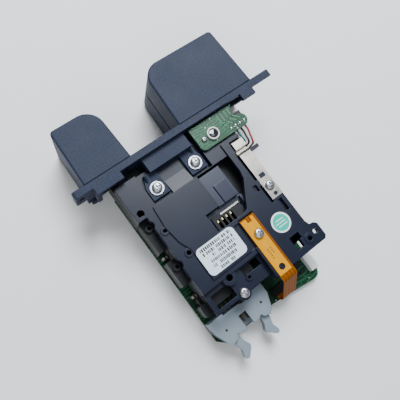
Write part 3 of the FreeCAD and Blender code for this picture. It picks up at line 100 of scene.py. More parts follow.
class ReaderColours(bpy.types.PropertyGroup):
    """Colours of the reader's materials."""
    horns: colour("Horns", "Grained plastic of the bezel", (0.009, 0.017, 0.044))
    frame: colour("Frame", "Smooth plastic of the upper frame", (0.002, 0.005, 0.019))
    raised: colour("Carriage", "Plastic of the sliding carriage", (0.005, 0.010, 0.030))
    black: colour("Black parts", "Guide plate, lower frame and sockets", (0.006, 0.007, 0.009))
    header: colour("Header", "Header and its latches", (0.20, 0.245, 0.29))
    white: colour("White parts", "Sockets, levers and the lamp's ring", (0.74, 0.76, 0.76))
    zinc: colour("Zinc", "Screws and washers", (0.50, 0.51, 0.54))
    nickel: colour("Nickel", "Ground strip, pins and the head's shell", (0.46, 0.42, 0.37))
    gold: colour("Gold", "Contacts and header pins", (0.83, 0.62, 0.26))
    board: colour("Board", "Solder mask", (0.003, 0.038, 0.015))
    trace: colour("Traces", "Mask over copper", (0.014, 0.120, 0.055))
    film: colour("Film", "Flat cable", (0.26, 0.075, 0.004))
    stiffener: colour("Stiffener", "Stiffener of the flat cable", (0.74, 0.33, 0.004))
    paper: colour("Paper", "Label", (0.72, 0.84, 0.93))
    print: colour("Print", "Marks on the label", (0.02, 0.02, 0.03))
    mint: colour("Sticker", "Round sticker", (0.0, 0.50, 0.40))
    teal: colour("Teal wire", "First wire's cover", (0.008, 0.14, 0.14))
    red: colour("Red wire", "Third wire's cover", (0.26, 0.012, 0.02))


class ReaderSizes(bpy.types.PropertyGroup):
    """Sizes of the details that are added to the frame."""
    grain: length("Grain", "Size of the moulded grain of the horns", 0.00075)
    edge: length("Edge", "Radius that the plastic's edges look rounded by", 0.00028)
    head_round: number("Head crown", "Part of a screw head's radius that is flat", 0.45, 0.1, 0.9)
    mark: length("Mark height", "Height of one row of marks on the label", 0.00165)
    relief: length("Relief", "How far prints and traces stand proud", 0.00002)
    ring_steps: IntProperty(name="Ring steps", description="Steps round a turned piece",
                            min=12, max=128, default=48)


class StageSettings(bpy.types.PropertyGroup):
    """The floor, the lights and the camera."""
    floor: colour("Floor", "Floor colour", (0.93, 0.93, 0.93))
    key_power: number("Key", "Power of the key light in watts", 16.0)
    sheen_power: number("Sheen", "Power of the light that the gloss mirrors, in watts", 0.55)
    fill_power: number("Fill", "Power of the fill light in watts", 3.5)
    sky: number("Sky", "Brightness of the surroundings", 0.30)
    lens: number("Lens", "Focal length in mm on a 36 mm sensor", 41.56)


def settings():
    scene = bpy.context.scene
    return scene.reader_colours, scene.reader_sizes, scene.reader_stage


# ---- node trees -------------------------------------------------------------------------------

def put(tree, kind, links=None, **values):
    """A new node; links maps its inputs to sockets or to plain values, values sets properties."""
    node = tree.nodes.new(kind)
    for name, value in values.items():
        setattr(node, name, value)
    for name, source in (links or {}).items():
        socket = node.inputs[name]
        if isinstance(source, bpy.types.NodeSocket):
            tree.links.new(source, socket)
        else:
            socket.default_value = source
    return node


def rgba(values):
    return (*values, 1.0)


def new_group(name, inputs, outputs):
    """An empty node group with named sockets: the tree, its input node and its output node."""
    kinds = {"colour": "NodeSocketColor", "number": "NodeSocketFloat", "vector": "NodeSocketVector"}
    tree = bpy.data.node_groups.new(name, "ShaderNodeTree")
    for label, kind, default in inputs:
        socket = tree.interface.new_socket(name=label, in_out="INPUT", socket_type=kinds[kind])
        socket.default_value = default
    for label, kind in outputs:
        tree.interface.new_socket(name=label, in_out="OUTPUT", socket_type=kinds[kind])
    return tree, tree.nodes.new("NodeGroupInput"), tree.nodes.new("NodeGroupOutput")


def join(tree, node, **sources):
    """Links each source to the node's input of that name, with _ for a space."""
    for label, source in sources.items():
        tree.links.new(source, node.inputs[label.replace("_", " ")])


def maths(tree, operation, first, second):
    return put(tree, "ShaderNodeMath", {0: first, 1: second}, operation=operation).outputs[0]


def vectors(tree, operation, first, second):
    """Vector arithmetic; a number is taken as a vector of three like numbers."""
    node = put(tree, "ShaderNodeVectorMath", {0: first, 1: second}, operation=operation)
    return node.outputs["Value" if operation == "DOT_PRODUCT" else 0]


def mix(tree, factor, first, second):
    """Goes from the first colour to the second as the factor goes from 0 to 1."""
    node = put(tree, "ShaderNodeMix", {0: factor, 6: first, 7: second}, data_type="RGBA")
    return node.outputs[2]


def ramp(tree, value, low, high, to_low=0.0, to_high=1.0):
    """Carries the range from low to high over to another, and clamps it."""
    node = put(tree, "ShaderNodeMapRange", {0: value, 1: low, 2: high, 3: to_low, 4: to_high})
    return node.outputs[0]


def object_place(tree):
    return put(tree, "ShaderNodeTexCoord").outputs["Object"]


def noise(tree, place, **inputs):
    return put(tree, "ShaderNodeTexNoise", {"Vector": place, **inputs})


def spread(tree, texture, low, high):
    """A noise's values, spread from low to high."""
    return ramp(tree, texture.outputs[0], *NOISE_RANGE, low, high)


def grain_group():
    """Moulded plastic: fine grain, a slow mottle, and the mottle in the roughness too."""
    tree, start, end = new_group(
        "Moulded Grain",
        [("Color", "colour", (0.1, 0.1, 0.1, 1)), ("Scale", "number", 3000.0),
         ("Speckle", "number", 0.2), ("Mottle", "number", 0.1), ("Roughness", "number", 0.5)],
        [("Color", "colour"), ("Roughness", "number"), ("Height", "number")])
    place = object_place(tree)
    fine = noise(tree, place, Scale=start.outputs["Scale"], Detail=2.0, Roughness=0.7)
    slow = noise(tree, place, Scale=70.0, Detail=3.0)
    speck = maths(tree, "MULTIPLY", spread(tree, fine, -1.0, 1.0), start.outputs["Speckle"])
    cloud = maths(tree, "MULTIPLY", spread(tree, slow, -1.0, 1.0), start.outputs["Mottle"])
    bright = maths(tree, "ADD", maths(tree, "ADD", speck, cloud), 1.0)
    rough = maths(tree, "MULTIPLY", start.outputs["Roughness"], spread(tree, slow, 0.95, 1.05))
    join(tree, end, Color=vectors(tree, "MULTIPLY", start.outputs["Color"], bright),
         Roughness=rough, Height=fine.outputs[0])
    return tree


def edge_group():
    """Edges that catch the light: a rounded normal, and a painted highlight, a paler colour along
    the edges, patchy at random.
    """
    tree, start, end = new_group(
        "Soft Edge",
        [("Color", "colour", (0.1, 0.1, 0.1, 1)), ("Edge Color", "colour", (0.3, 0.3, 0.3, 1)),
         ("Radius", "number", 0.0003), ("Wear", "number", 0.3)],
        [("Color", "colour"), ("Normal", "vector")])
    soft = put(tree, "ShaderNodeBevel", {"Radius": start.outputs["Radius"]}, samples=6)
    flat = put(tree, "ShaderNodeNewGeometry").outputs["True Normal"]
    edge = ramp(tree, vectors(tree, "DOT_PRODUCT", soft.outputs[0], flat), 1.0, 0.8)
    patchy = noise(tree, object_place(tree), Scale=400.0, Detail=3.0)
    # Painted highlight: the edge mask, patchy at random.
    highlit = maths(tree, "MULTIPLY", edge, ramp(tree, patchy.outputs[0], 0.35, 0.65, 0.35, 1.0))
    amount = maths(tree, "MULTIPLY", highlit, start.outputs["Wear"])
    join(tree, end, Color=mix(tree, amount, start.outputs["Color"], start.outputs["Edge Color"]),
         Normal=soft.outputs[0])
    return tree


def brushed_group():
    """Metal with fine lines along one direction."""
    tree, start, end = new_group(
        "Drawn Metal",
        [("Color", "colour", (0.6, 0.6, 0.6, 1)), ("Stretch", "vector", EVEN),
         ("Contrast", "number", 0.12), ("Roughness", "number", 0.3)],
        [("Color", "colour"), ("Roughness", "number"), ("Height", "number")])
    place = object_place(tree)
    drawn = vectors(tree, "MULTIPLY", place, start.outputs["Stretch"])
    lines = noise(tree, drawn, Scale=1500.0, Detail=4.0)
    stain = noise(tree, place, Scale=260.0, Detail=3.0)
    shine = maths(tree, "MULTIPLY", spread(tree, lines, -1.0, 1.0), start.outputs["Contrast"])
    bright = maths(tree, "ADD", shine, spread(tree, stain, 0.9, 1.05))
    rough = maths(tree, "MULTIPLY", start.outputs["Roughness"], spread(tree, stain, 0.75, 1.3))
    join(tree, end, Color=vectors(tree, "MULTIPLY", start.outputs["Color"], bright),
         Roughness=rough, Height=lines.outputs[0])
    return tree


def board_group():
    """Solder mask over copper: runs of traces, and tinned vias."""
    tree, start, end = new_group(
        "Solder Mask",
        [("Mask", "colour", (0.01, 0.1, 0.04, 1)), ("Trace", "colour", (0.02, 0.2, 0.08, 1)),
         ("Tin", "colour", (0.6, 0.6, 0.55, 1)), ("Scale", "number", 260.0)],
        [("Color", "colour"), ("Roughness", "number"), ("Height", "number")])
    place = object_place(tree)
    warp = noise(tree, place, Scale=90.0, Detail=0.0)
    shift = vectors(tree, "MULTIPLY", warp.outputs["Color"], (0.004, 0.004, 0.0))
    black, white = rgba((0, 0, 0)), rgba((1, 1, 1))
    runs = put(tree, "ShaderNodeTexBrick", {
        "Vector": vectors(tree, "ADD", place, shift), "Scale": start.outputs["Scale"],
        "Color1": black, "Color2": black, "Mortar": white, "Mortar Size": 0.09,
        "Mortar Smooth": 0.2, "Brick Width": 1.7, "Row Height": 0.42})
    areas = noise(tree, place, Scale=110.0, Detail=1.0)
    copper = maths(tree, "MULTIPLY", runs.outputs["Fac"], ramp(tree, areas.outputs[0], 0.45, 0.5))
    dots = put(tree, "ShaderNodeTexVoronoi", {"Vector": place, "Scale": 330.0, "Randomness": 0.9})
    via = ramp(tree, dots.outputs["Distance"], 0.13, 0.10)
    green = mix(tree, copper, start.outputs["Mask"], start.outputs["Trace"])
    join(tree, end, Color=mix(tree, via, green, start.outputs["Tin"]),
         Roughness=ramp(tree, copper, 0.0, 1.0, 0.38, 0.30), Height=copper)
    return tree


GROUPS = {}


def effect(tree, name, **values):
    """Places one of the shared groups in a material."""
    makers = {"grain": grain_group, "edge": edge_group, "brushed": brushed_group,
              "board": board_group}
    if name not in GROUPS:
        GROUPS[name] = makers[name]()
    links = {label.replace("_", " "): value for label, value in values.items()}
    return put(tree, "ShaderNodeGroup", links, node_tree=GROUPS[name])


def new_material(name, **constants):
    """A material with one Principled shader; the constants stand on the shader's own sockets."""
    material = bpy.data.materials.new(name)
    material.use_nodes = True
    shader = material.node_tree.nodes["Principled BSDF"]
    for label, value in constants.items():
        shader.inputs[label.replace("_", " ")].default_value = value
    return material, material.node_tree, shader


def bump(tree, shader, height, depth, normal=None):
    """Puts a height of so many metres on the shader's normal."""
    links = {"Height": height, "Distance": depth, "Strength": 1.0}
    if normal:
        links["Normal"] = normal
    node = put(tree, "ShaderNodeBump", links)
    join(tree, shader, Normal=node.outputs[0])


def coated(tree, shader, skin, edge, depth):
    """Joins a skin group and an edge group to the shader."""
    join(tree, shader, Base_Color=edge.outputs["Color"], Roughness=skin.outputs["Roughness"])
    bump(tree, shader, skin.outputs["Height"], depth, edge.outputs["Normal"])


def moulded(name, base, grain=0.0004, roughness=0.5, speckle=0.12, mottle=0.06, depth=0.00002,
            edge_highlight=0.35, gloss=0.5):
    """Moulded plastic with grain, and a painted highlight in a paler colour along its rounded
    edges.
    """
    material, tree, shader = new_material(name, Specular_IOR_Level=gloss)
    skin = effect(tree, "grain", Color=rgba(base), Scale=1.0 / grain, Speckle=speckle,
                  Mottle=mottle, Roughness=roughness)
    # Colour of the painted highlight along the edges.
    pale = rgba([min(1.0, value * 2.2 + 0.03) for value in base])
    edge = effect(tree, "edge", Color=skin.outputs["Color"], Edge_Color=pale,
                  Radius=settings()[1].edge, Wear=edge_highlight)
    coated(tree, shader, skin, edge, depth)
    return material


def metal(name, base, roughness, stretch=EVEN, contrast=0.1):
    """Drawn or plated metal."""
    material, tree, shader = new_material(name, Metallic=1.0)
    skin = effect(tree, "brushed", Color=rgba(base), Stretch=stretch, Contrast=contrast,
                  Roughness=roughness)
    # Colour of the painted highlight along the edges.
    pale = rgba([min(1, value * 1.3) for value in base])
    edge = effect(tree, "edge", Color=skin.outputs["Color"], Edge_Color=pale,
                  Radius=settings()[1].edge * 0.2, Wear=0.1)
    coated(tree, shader, skin, edge, depth=0.000004)
    return material


def green_board(name, mask, trace, scale):
    """Solder mask over copper."""
    material, tree, shader = new_material(name, Specular_IOR_Level=0.25, Coat_Weight=0.04,
                                          Coat_Roughness=0.3)
    skin = effect(tree, "board", Mask=rgba(mask), Trace=rgba(trace), Scale=scale)
    join(tree, shader, Base_Color=skin.outputs["Color"], Roughness=skin.outputs["Roughness"])
    bump(tree, shader, skin.outputs["Height"], depth=0.00003)
    return material


def film(name, base, dark, lines):
    """Polyimide film over copper conductors that run along Y."""
    material, tree, shader = new_material(name, Specular_IOR_Level=0.06, Roughness=0.55)
    place = object_place(tree)
    bands = put(tree, "ShaderNodeTexWave", {"Vector": place, "Scale": lines, "Distortion": 0.0},
                wave_type="BANDS", bands_direction="X")
    cloud = noise(tree, place, Scale=220.0, Detail=3.0)
    copper = maths(tree, "MULTIPLY", ramp(tree, bands.outputs["Fac"], 0.45, 0.55, 0.0, 0.7),
                   spread(tree, cloud, 0.75, 1.0))
    join(tree, shader, Base_Color=mix(tree, copper, rgba(base), rgba(dark)))
    bump(tree, shader, bands.outputs["Fac"], depth=0.00001)
    return material


# ---- meshes ------------------------------------------------------------------------------------

def add_item(name, data):
    """Puts data in the scene as an object at the origin."""
    item = bpy.data.objects.new(name, data)
    bpy.context.collection.objects.link(item)
    return item


def add_mesh(name, bm):
    """Turns the bmesh into an object and frees it."""
    mesh = bpy.data.meshes.new(name)
    bm.to_mesh(mesh)
    bm.free()
    return add_item(name, mesh)


def add_piece(name, bm, material, body):
    """Turns the bmesh into a piece that rides on a body."""
    bmesh.ops.recalc_face_normals(bm, faces=bm.faces)
    piece = add_mesh(name, bm)
    piece.data.materials.append(material)
    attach(piece, body)
    return piece


def turned(bm, profile, centre, steps):
    """Spins a profile of radius and height pairs about an upright axis."""
    x, y = centre
    verts = [bm.verts.new((x + radius, y, height)) for radius, height in profile]
    edges = [bm.edges.new(pair) for pair in zip(verts, verts[1:])]
    bmesh.ops.spin(bm, geom=verts + edges, cent=(x, y, 0), axis=(0, 0, 1), angle=2 * math.pi,
                   steps=steps, use_merge=True)
    bmesh.ops.remove_doubles(bm, verts=bm.verts, dist=1e-7)


def add_block(bm, low, high):
    """A closed block between two corners."""
    centre = (Vector(low) + Vector(high)) / 2
    size = Vector(high) - Vector(low)
    place = Matrix.Translation(centre) @ Matrix.Diagonal((*size, 1.0))
    bmesh.ops.create_cube(bm, size=1.0, matrix=place)


def disc(radius, low, high):
    """The outline of a flat disc, for turned."""
    return [(0.0, low), (radius, low), (radius, high), (0.0, high)]


def middle(node):
    """The middle of a node's box, seen from above."""
    low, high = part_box(node)
    return (low.x + high.x) / 2, (low.y + high.y) / 2


def smooth(piece, angle=35):
    """Shades the piece smooth, but for edges sharper than so many degrees."""
    for polygon in piece.data.polygons:
        polygon.use_smooth = True
    piece.data.set_sharp_from_angle(angle=math.radians(angle))


def row(low, high, radius):
    """Where pieces of a radius stand between two ends: one at each, or one if they'd meet."""
    ends = sorted({round(low + radius, 6), round(high - radius, 6)})
    return [sum(ends) / 2] if len(ends) == 2 and ends[1] - ends[0] < radius / 2 else ends


def places(node, radius):
    """The axes of the like pieces in a node, which stand at the corners of its box."""
    low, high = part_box(node)
    return [(x, y) for y in row(low.y, high.y, radius) for x in row(low.x, high.x, radius)]


def bake_shape(piece, cutters):
    """Cuts the cutters out of the piece for good and removes them."""
    for cutter in cutters:
        modifier = piece.modifiers.new("Cut", "BOOLEAN")
        modifier.object = cutter
        modifier.solver = "EXACT"
    bpy.context.view_layer.update()
    graph = bpy.context.evaluated_depsgraph_get()
    mesh = bpy.data.meshes.new_from_object(piece.evaluated_get(graph))
    piece.modifiers.clear()
    piece.data = mesh
    for cutter in cutters:
        bpy.data.objects.remove(cutter)


# Outline of a pan head: its radius and height, each as a part of the head's own.
PAN_HEAD = ((1.0, 0.08), (1.0, 0.4), (0.97, 0.6), (0.88, 0.79), (0.7, 0.93))
CROSS_REACH, CROSS_HALF_WIDTH = 0.58, 0.15      # the recess, as parts of the head's radius
CROSS_FLOOR = 0.30      # where the recess ends, as a part of the head's height


def screw_set(node, head_r, head, shank_r, material, down=True):
    """Pan-head screws with a crowned head and a cross recess, in place of a node's plain ones."""
    sizes = settings()[1]
    low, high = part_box(node)
    seat = high.z - head if down else low.z + head
    tip = low.z if down else high.z
    way = 1 if down else -1
    outline = [(0.0, tip), (shank_r * 0.7, tip), (shank_r * 0.96, tip + way * 0.4 * MM),
               (shank_r * 0.96, seat), (head_r * 0.97, seat)]
    outline += [(head_r * part, seat + way * head * rise) for part, rise in PAN_HEAD]
    outline += [(head_r * sizes.head_round, seat + way * head * 0.99), (0.0, seat + way * head)]
    bm = bmesh.new()
    arms = [bmesh.new(), bmesh.new()]
    low, high = sorted((seat + way * head * CROSS_FLOOR, seat + way * (head + 1 * MM)))
    long, thin = head_r * CROSS_REACH, head_r * CROSS_HALF_WIDTH
    for x, y in places(node, head_r):
        turned(bm, outline, (x, y), sizes.ring_steps)
        add_block(arms[0], (x - long, y - thin, low), (x + long, y + thin, high))
        add_block(arms[1], (x - thin, y - long, low), (x + thin, y + long, high))
    piece = add_piece(f"{node}_turned", bm, material, ROOT)
    bake_shape(piece, [add_mesh("cutter", arm) for arm in arms])
    smooth(piece)
    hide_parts(node)


# ---- operators ---------------------------------------------------------------------------------

def finish_nodes(material, *names):
    """Gives CAD nodes a material."""
    for name in names:
        for item in frame["nodes"][name].material_slots:
            item.material = material


class READER_OT_plastics(bpy.types.Operator):
    """Finishes the moulded plastic nodes"""
    bl_idname = "reader.plastics"
    bl_label = "Plastics"

    def execute(self, context):
        paint, sizes, _ = settings()
        # The paler edges on these plastics are a painted highlight.
        horn = moulded("Horn Plastic", paint.horns, sizes.grain, 0.62, speckle=0.55, mottle=0.04,
                       depth=0.00004, edge_highlight=0.25, gloss=0.35)
        finish_nodes(horn, "bezel_upper", "bezel_lower")
        smooth_plastic = moulded("Frame Plastic", paint.frame, grain=0.0006, roughness=0.36,
                                 mottle=0.2, gloss=0.36)
        finish_nodes(smooth_plastic, "upper_frame")
        raised = moulded("Carriage Plastic", paint.raised, grain=0.0006, roughness=0.32, mottle=0.1)
        finish_nodes(raised, "contact_carriage")
        black = moulded("Black Plastic", paint.black, grain=0.0005, roughness=0.42, gloss=0.3)
        finish_nodes(black, "guide_plate", "lower_frame", "contact_block", "front_switch",
                     "rear_switch", "flex_socket", "sensor_plug", "board_chips",
                     "board_processor")
        pale = moulded("Header Plastic", paint.header, grain=0.0005, speckle=0.05, mottle=0.05,
                       edge_highlight=0.5)
        finish_nodes(pale, "header", "latch_plus", "latch_minus")
        # Painted shade: dark discs in the latch pins' holes.
        self.pivot_hole_shade(black, sizes.ring_steps // 2)
        white = moulded("White Plastic", paint.white, grain=0.0005, roughness=0.4, speckle=0.04,
                        mottle=0.04)
        finish_nodes(white, "sensor_lamp_ring", "side_socket", "sensor_socket", "head_socket",
                     "front_lever", "rear_lever")
        return {"FINISHED"}

    def pivot_hole_shade(self, dark, steps):
        """Painted shade: dark discs where the latch pins end in the header's top face, in place of
        the shade in their holes.
        """
        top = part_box("header")[1].z
        low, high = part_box("latch_pins")
        pin_r = (high.y - low.y) / 2
        bm = bmesh.new()
        for centre in places("latch_pins", pin_r):
            turned(bm, disc(pin_r * 0.75, top - DEEP, top + SUNK), centre, steps)
        add_piece("pivot_hole_shade", bm, dark, ROOT)


class READER_OT_metals(bpy.types.Operator):
    """Finishes the metal nodes"""
    bl_idname = "reader.metals"
    bl_label = "Metals"

    def execute(self, context):
        paint = settings()[0]
        nickel = metal("Nickel Sheet", paint.nickel, 0.34, stretch=ALONG_Y, contrast=0.05)
        finish_nodes(nickel, "ground_strip", "board_terminals", "contact_bar", "magnetic_head",
                     "carriage_pins", "latch_pins", "sensor_pads")
        finish_nodes(metal("Spring Wire", (0.45, 0.45, 0.46), 0.25), "carriage_spring",
                     "head_springs")
        finish_nodes(metal("Gold Plate", paint.gold, 0.2), "contact_springs")
        # Painted shade: the header pins sit in its cavity and get a near-black colour in place of
        # the shade there.
        finish_nodes(metal("Shaded Pin", (0.10, 0.085, 0.06), 0.45), "header_pins")
        return {"FINISHED"}


class READER_OT_boards(bpy.types.Operator):
    """Finishes the circuit boards and adds the sensor board's tracks and solder joints"""
    bl_idname = "reader.boards"
    bl_label = "Circuit boards"

    PADS = 4
    # Outline of a solder joint: part of the pad's radius, and mm above the pad.
    SOLDER = ((0.96, -0.1), (0.6, 0.12), (0.42, 0.4), (0.34, 0.75), (0.0, 0.8))
    TRACK_PITCH, TRACK_WIDTH, TRACK_THICK = 2.65 * MM, 0.5 * MM, 0.06 * MM

    def execute(self, context):
        paint = settings()[0]
        main_board = green_board("Main Board", paint.board, paint.trace, scale=240.0)
        finish_nodes(main_board, "main_board")
        mask = [value * 1.5 for value in paint.board]
        finish_nodes(green_board("Sensor Board", mask, paint.trace, scale=300.0), "sensor_board")
        self.solder_joints()
        self.tracks()
        return {"FINISHED"}

    def solder_joints(self):
        """A cone of solder with a cut wire end on each pad."""
        low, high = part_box("sensor_pads")
        pad_r = (high.y - low.y) / 2
        pitch = (high.x - low.x - 2 * pad_r) / (self.PADS - 1)
        outline = [(0.0, low.z), (pad_r, low.z)]
        outline += [(pad_r * part, high.z + rise * MM) for part, rise in self.SOLDER]
        bm = bmesh.new()
        for i in range(self.PADS):
            centre = (low.x + pad_r + i * pitch, low.y + pad_r)
            turned(bm, outline, centre, settings()[1].ring_steps // 2)
        solder = metal("Solder", (0.75, 0.76, 0.78), 0.22)
        piece = add_piece("solder_joints", bm, solder, ROOT)
        smooth(piece, 60)
        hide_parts("sensor_pads")

    def tracks(self):
        """Tracks on the sensor board: straight runs that fan out from the pads."""
        low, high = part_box("sensor_board")
        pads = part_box("sensor_pads")
        first = pads[1].x - 0.85 * MM
        pad_y = (pads[0].y + pads[1].y) / 2
        bm = bmesh.new()
        for i in range(self.PADS):
            x = first - i * self.TRACK_PITCH
            turn = x + 2.2 * MM + i * 0.5 * MM
            route = [(x, pad_y - 0.6 * MM), (x, pad_y - 1.6 * MM - i * 0.1 * MM),
                     (turn, pad_y - 3.8 * MM - i * 0.6 * MM), (turn, low.y + 1.2 * MM)]
            for start, end in zip(route, route[1:]):
                self.run(bm, start, end, high.z)
        mask = [value * 1.5 for value in settings()[0].trace]
        sheen = moulded("Track Mask", mask, grain=0.0008, roughness=0.32, depth=0.000005)
        add_piece("board_tracks", bm, sheen, ROOT)

    def run(self, bm, start, end, top):
        """One straight run with its ends carried on by half its width."""
        a, b = Vector((*start, top)), Vector((*end, top))
        along = b - a
        turn = Matrix.Rotation(math.atan2(along.y, along.x), 4, "Z")
        size = (along.length + self.TRACK_WIDTH, self.TRACK_WIDTH, self.TRACK_THICK, 1.0)
        place = Matrix.Translation((a + b) / 2) @ turn @ Matrix.Diagonal(size)
        bmesh.ops.create_cube(bm, size=1.0, matrix=place)


class READER_OT_screws(bpy.types.Operator):
    """Turns the screws and the bezel's washers"""
    bl_idname = "reader.screws"
    bl_label = "Screws and washers"

    # Head radius, head height and shank radius in mm, by size; then the size of each node's
    # screws and whether their heads are on top.
    SIZES = {"M3": (2.5, 1.9, 1.5), "M2.5": (2.4, 1.7, 1.25), "M1.6": (1.3, 1.1, 0.8)}
    SCREWS = {"bezel_screws": ("M3", True), "rear_screw": ("M2.5", True),
              "strip_screw": ("M2.5", True), "cable_screw": ("M2.5", True),
              "sensor_screw": ("M1.6", True), "board_screws": ("M2.5", False),
              "bezel_joint_screws": ("M2.5", False)}
    WASHER_BORE_R, WASHER_SOFT = 1.65 * MM, 0.15 * MM

    def execute(self, context):
        paint, sizes, _ = settings()
        zinc = metal("Zinc Plate", paint.zinc, 0.28, contrast=0.06)
        for node, (size, down) in self.SCREWS.items():
            head_r, head, shank_r = (value * MM for value in self.SIZES[size])
            screw_set(node, head_r, head, shank_r, zinc, down)
        self.washers(zinc, sizes.ring_steps)
        return {"FINISHED"}

    def washers(self, zinc, steps):
        """Washers with softened rims."""
        low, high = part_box("bezel_washers")
        radius, bore, soft = (high.y - low.y) / 2, self.WASHER_BORE_R, self.WASHER_SOFT
        ring = [(bore, low.z), (radius - soft, low.z), (radius, low.z + soft),
                (radius, high.z - soft), (radius - soft, high.z), (bore + soft, high.z),
                (bore, high.z - soft), (bore, low.z)]
        bm = bmesh.new()
        for centre in places("bezel_washers", radius):
            turned(bm, ring, centre, steps)
        piece = add_piece("bezel_washers_turned", bm, zinc, ROOT)
        smooth(piece, 25)
        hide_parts("bezel_washers")


class READER_OT_lamp(bpy.types.Operator):
    """Makes the sensor's dark dome inside its white ring"""
    bl_idname = "reader.lamp"
    bl_label = "Sensor dome"

    WALL = 0.35      # part of the height that stands upright below the dome
    RINGS = 6

    def execute(self, context):
        low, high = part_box("sensor_lamp")
        radius, height = (high.x - low.x) / 2, high.z - low.z
        outline = [(0.0, low.z), (radius, low.z), (radius, low.z + height * self.WALL)]
        for i in range(1, self.RINGS + 1):
            angle = i * math.pi / (2 * self.RINGS)
            rise = self.WALL + (1 - self.WALL) * math.sin(angle)
            outline.append((radius * math.cos(angle), low.z + height * rise))
        bm = bmesh.new()
        turned(bm, outline, middle("sensor_lamp"), settings()[1].ring_steps)
        dark, _, _ = new_material("Dark Lens", Base_Color=(0.006, 0.006, 0.01, 1), Roughness=0.08,
                                  Specular_IOR_Level=0.8, Coat_Weight=1.0)
        piece = add_piece("sensor_dome", bm, dark, ROOT)
        smooth(piece, 50)
        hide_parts("sensor_lamp")
        return {"FINISHED"}


class READER_OT_cables(bpy.types.Operator):
    """Finishes the flat cable, its stiffener, the head's ribbon and the three wires"""
    bl_idname = "reader.cables"
    bl_label = "Cables"

    # Rows of bars on the stiffener: how far from its middle in mm, and how many bars.
    ROWS = ((0.2, 5), (-1.4, 3))
    FIRST_BAR, BAR_PITCH = 17.0, 1.15
    BAR_LENGTH, BAR_WIDTH = 0.9 * MM, 0.5 * MM

    def execute(self, context):
        paint = settings()[0]
        brown = [value * 0.55 for value in paint.film]
        cable_film = film("Cable Film", paint.film, brown, lines=160.0)
        finish_nodes(cable_film, "flat_cable", "head_ribbon")
        gold = [value * part for value, part in zip(paint.stiffener, (0.94, 0.88, 0.8))]
        stiffener_film = film("Stiffener Film", paint.stiffener, gold, lines=70.0)
        finish_nodes(stiffener_film, "cable_stiffener")
        self.stiffener_marks([value * 0.3 for value in paint.stiffener])
        for node, base in (("wire_teal", paint.teal), ("wire_black", paint.black),
                           ("wire_red", paint.red)):
            # The paler edges on the covers are a painted highlight.
            cover = moulded(f"{node} Cover", base, grain=0.0006, roughness=0.3, edge_highlight=0.1)
            finish_nodes(cover, node)
        return {"FINISHED"}

    def stiffener_marks(self, brown):
        """Two short rows of plain bars along the stiffener."""
        low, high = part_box("cable_stiffener")
        centre = middle("cable_stiffener")[0]
        bm = bmesh.new()
        for row, count in self.ROWS:
            for i in range(count):
                x = centre + row * MM
                y = low.y + (self.FIRST_BAR + self.BAR_PITCH * i) * MM
                add_block(bm, (x, y, high.z - SUNK),
                          (x + self.BAR_LENGTH, y + self.BAR_WIDTH, high.z + 0.02 * MM))
        ink = moulded("Stiffener Ink", brown, grain=0.0006, edge_highlight=0.0)
        add_piece("stiffener_marks", bm, ink, ROOT)


class READER_OT_label(bpy.types.Operator):
    """Prints generic marks on the label and on the round sticker"""
    bl_idname = "reader.label"
    bl_label = "Label and sticker"

    # Rows of marks, as parts of the label's box: how far up, where they start, where they end.
    ROWS = ((0.90, 0.30, 0.74), (0.74, 0.22, 0.84), (0.58, 0.16, 0.80), (0.42, 0.12, 0.70),
            (0.27, 0.10, 0.86), (0.12, 0.10, 0.90))
    SEED = 11
    PRINT_PART = 0.82      # part of the sticker's radius that is printed
    # Bars on the sticker in mm: half their length, and how far they are off the middle.
    BARS = ((2.3, 0.0), (2.9, 0.3), (2.6, -0.2))
    BAR_PITCH, BAR_HALF_WIDTH = 1.5 * MM, 0.25 * MM

    def execute(self, context):
        paint = settings()[0]
        paper = moulded("Label Paper", paint.paper, speckle=0.03, mottle=0.03, edge_highlight=0.0)
        finish_nodes(paper, "label")
        white = moulded("Sticker Paper", (0.85, 0.9, 0.9), speckle=0.02, mottle=0.02, edge_highlight=0.0)
        finish_nodes(white, "sticker")
        ink = moulded("Print Ink", paint.print, roughness=0.6, edge_highlight=0.0)
        low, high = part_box("label")
        wide, deep = high.x - low.x, high.y - low.y
        bm = bmesh.new()
        draw = random.Random(self.SEED)
        for up, left, right in self.ROWS:
            self.dashes(bm, draw, low.x + wide * left, low.x + wide * right,
                        low.y + deep * up, high.z)
        add_piece("label_marks", bm, ink, ROOT)
        self.round_sticker()
        return {"FINISHED"}

    def dashes(self, bm, draw, start, stop, y, base):
        """One row of plain upright dashes of uneven width."""
        sizes = settings()[1]
        x = start
        while x < stop:
            width = draw.uniform(0.3, 0.8) * MM
            tall = sizes.mark * draw.choice((0.75, 0.9, 1.0))
            if draw.random() < 0.85:
                add_block(bm, (x, y - tall / 2, base - SUNK),
                          (x + width, y + tall / 2, base + sizes.relief))
            x += width + draw.uniform(0.2, 0.45) * MM

    def round_sticker(self):
        """A coloured disc with three plain bars, within a white rim."""
        paint, sizes, _ = settings()
        low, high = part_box("sticker")
        x, y = middle("sticker")
        radius, top = (high.x - low.x) / 2, high.z + sizes.relief
        bm = bmesh.new()
        turned(bm, disc(radius * self.PRINT_PART, high.z - DEEP, top), (x, y), sizes.ring_steps)
        mint = moulded("Mint Paper", paint.mint, roughness=0.45, speckle=0.05, mottle=0.05,
                       edge_highlight=0.0, gloss=0.06)
        add_piece("sticker_disc", bm, mint, ROOT)
        marks = bmesh.new()
        for i, (reach, shift) in enumerate(self.BARS):
            bar_y = y + (i - 1) * self.BAR_PITCH
            add_block(marks, (x + (shift - reach) * MM, bar_y - self.BAR_HALF_WIDTH, top - SUNK),
                      (x + (shift + reach) * MM, bar_y + self.BAR_HALF_WIDTH, top + sizes.relief))
        pale = moulded("Pale Ink", (0.8, 0.9, 0.88), edge_highlight=0.0)
        add_piece("sticker_marks", marks, pale, ROOT)


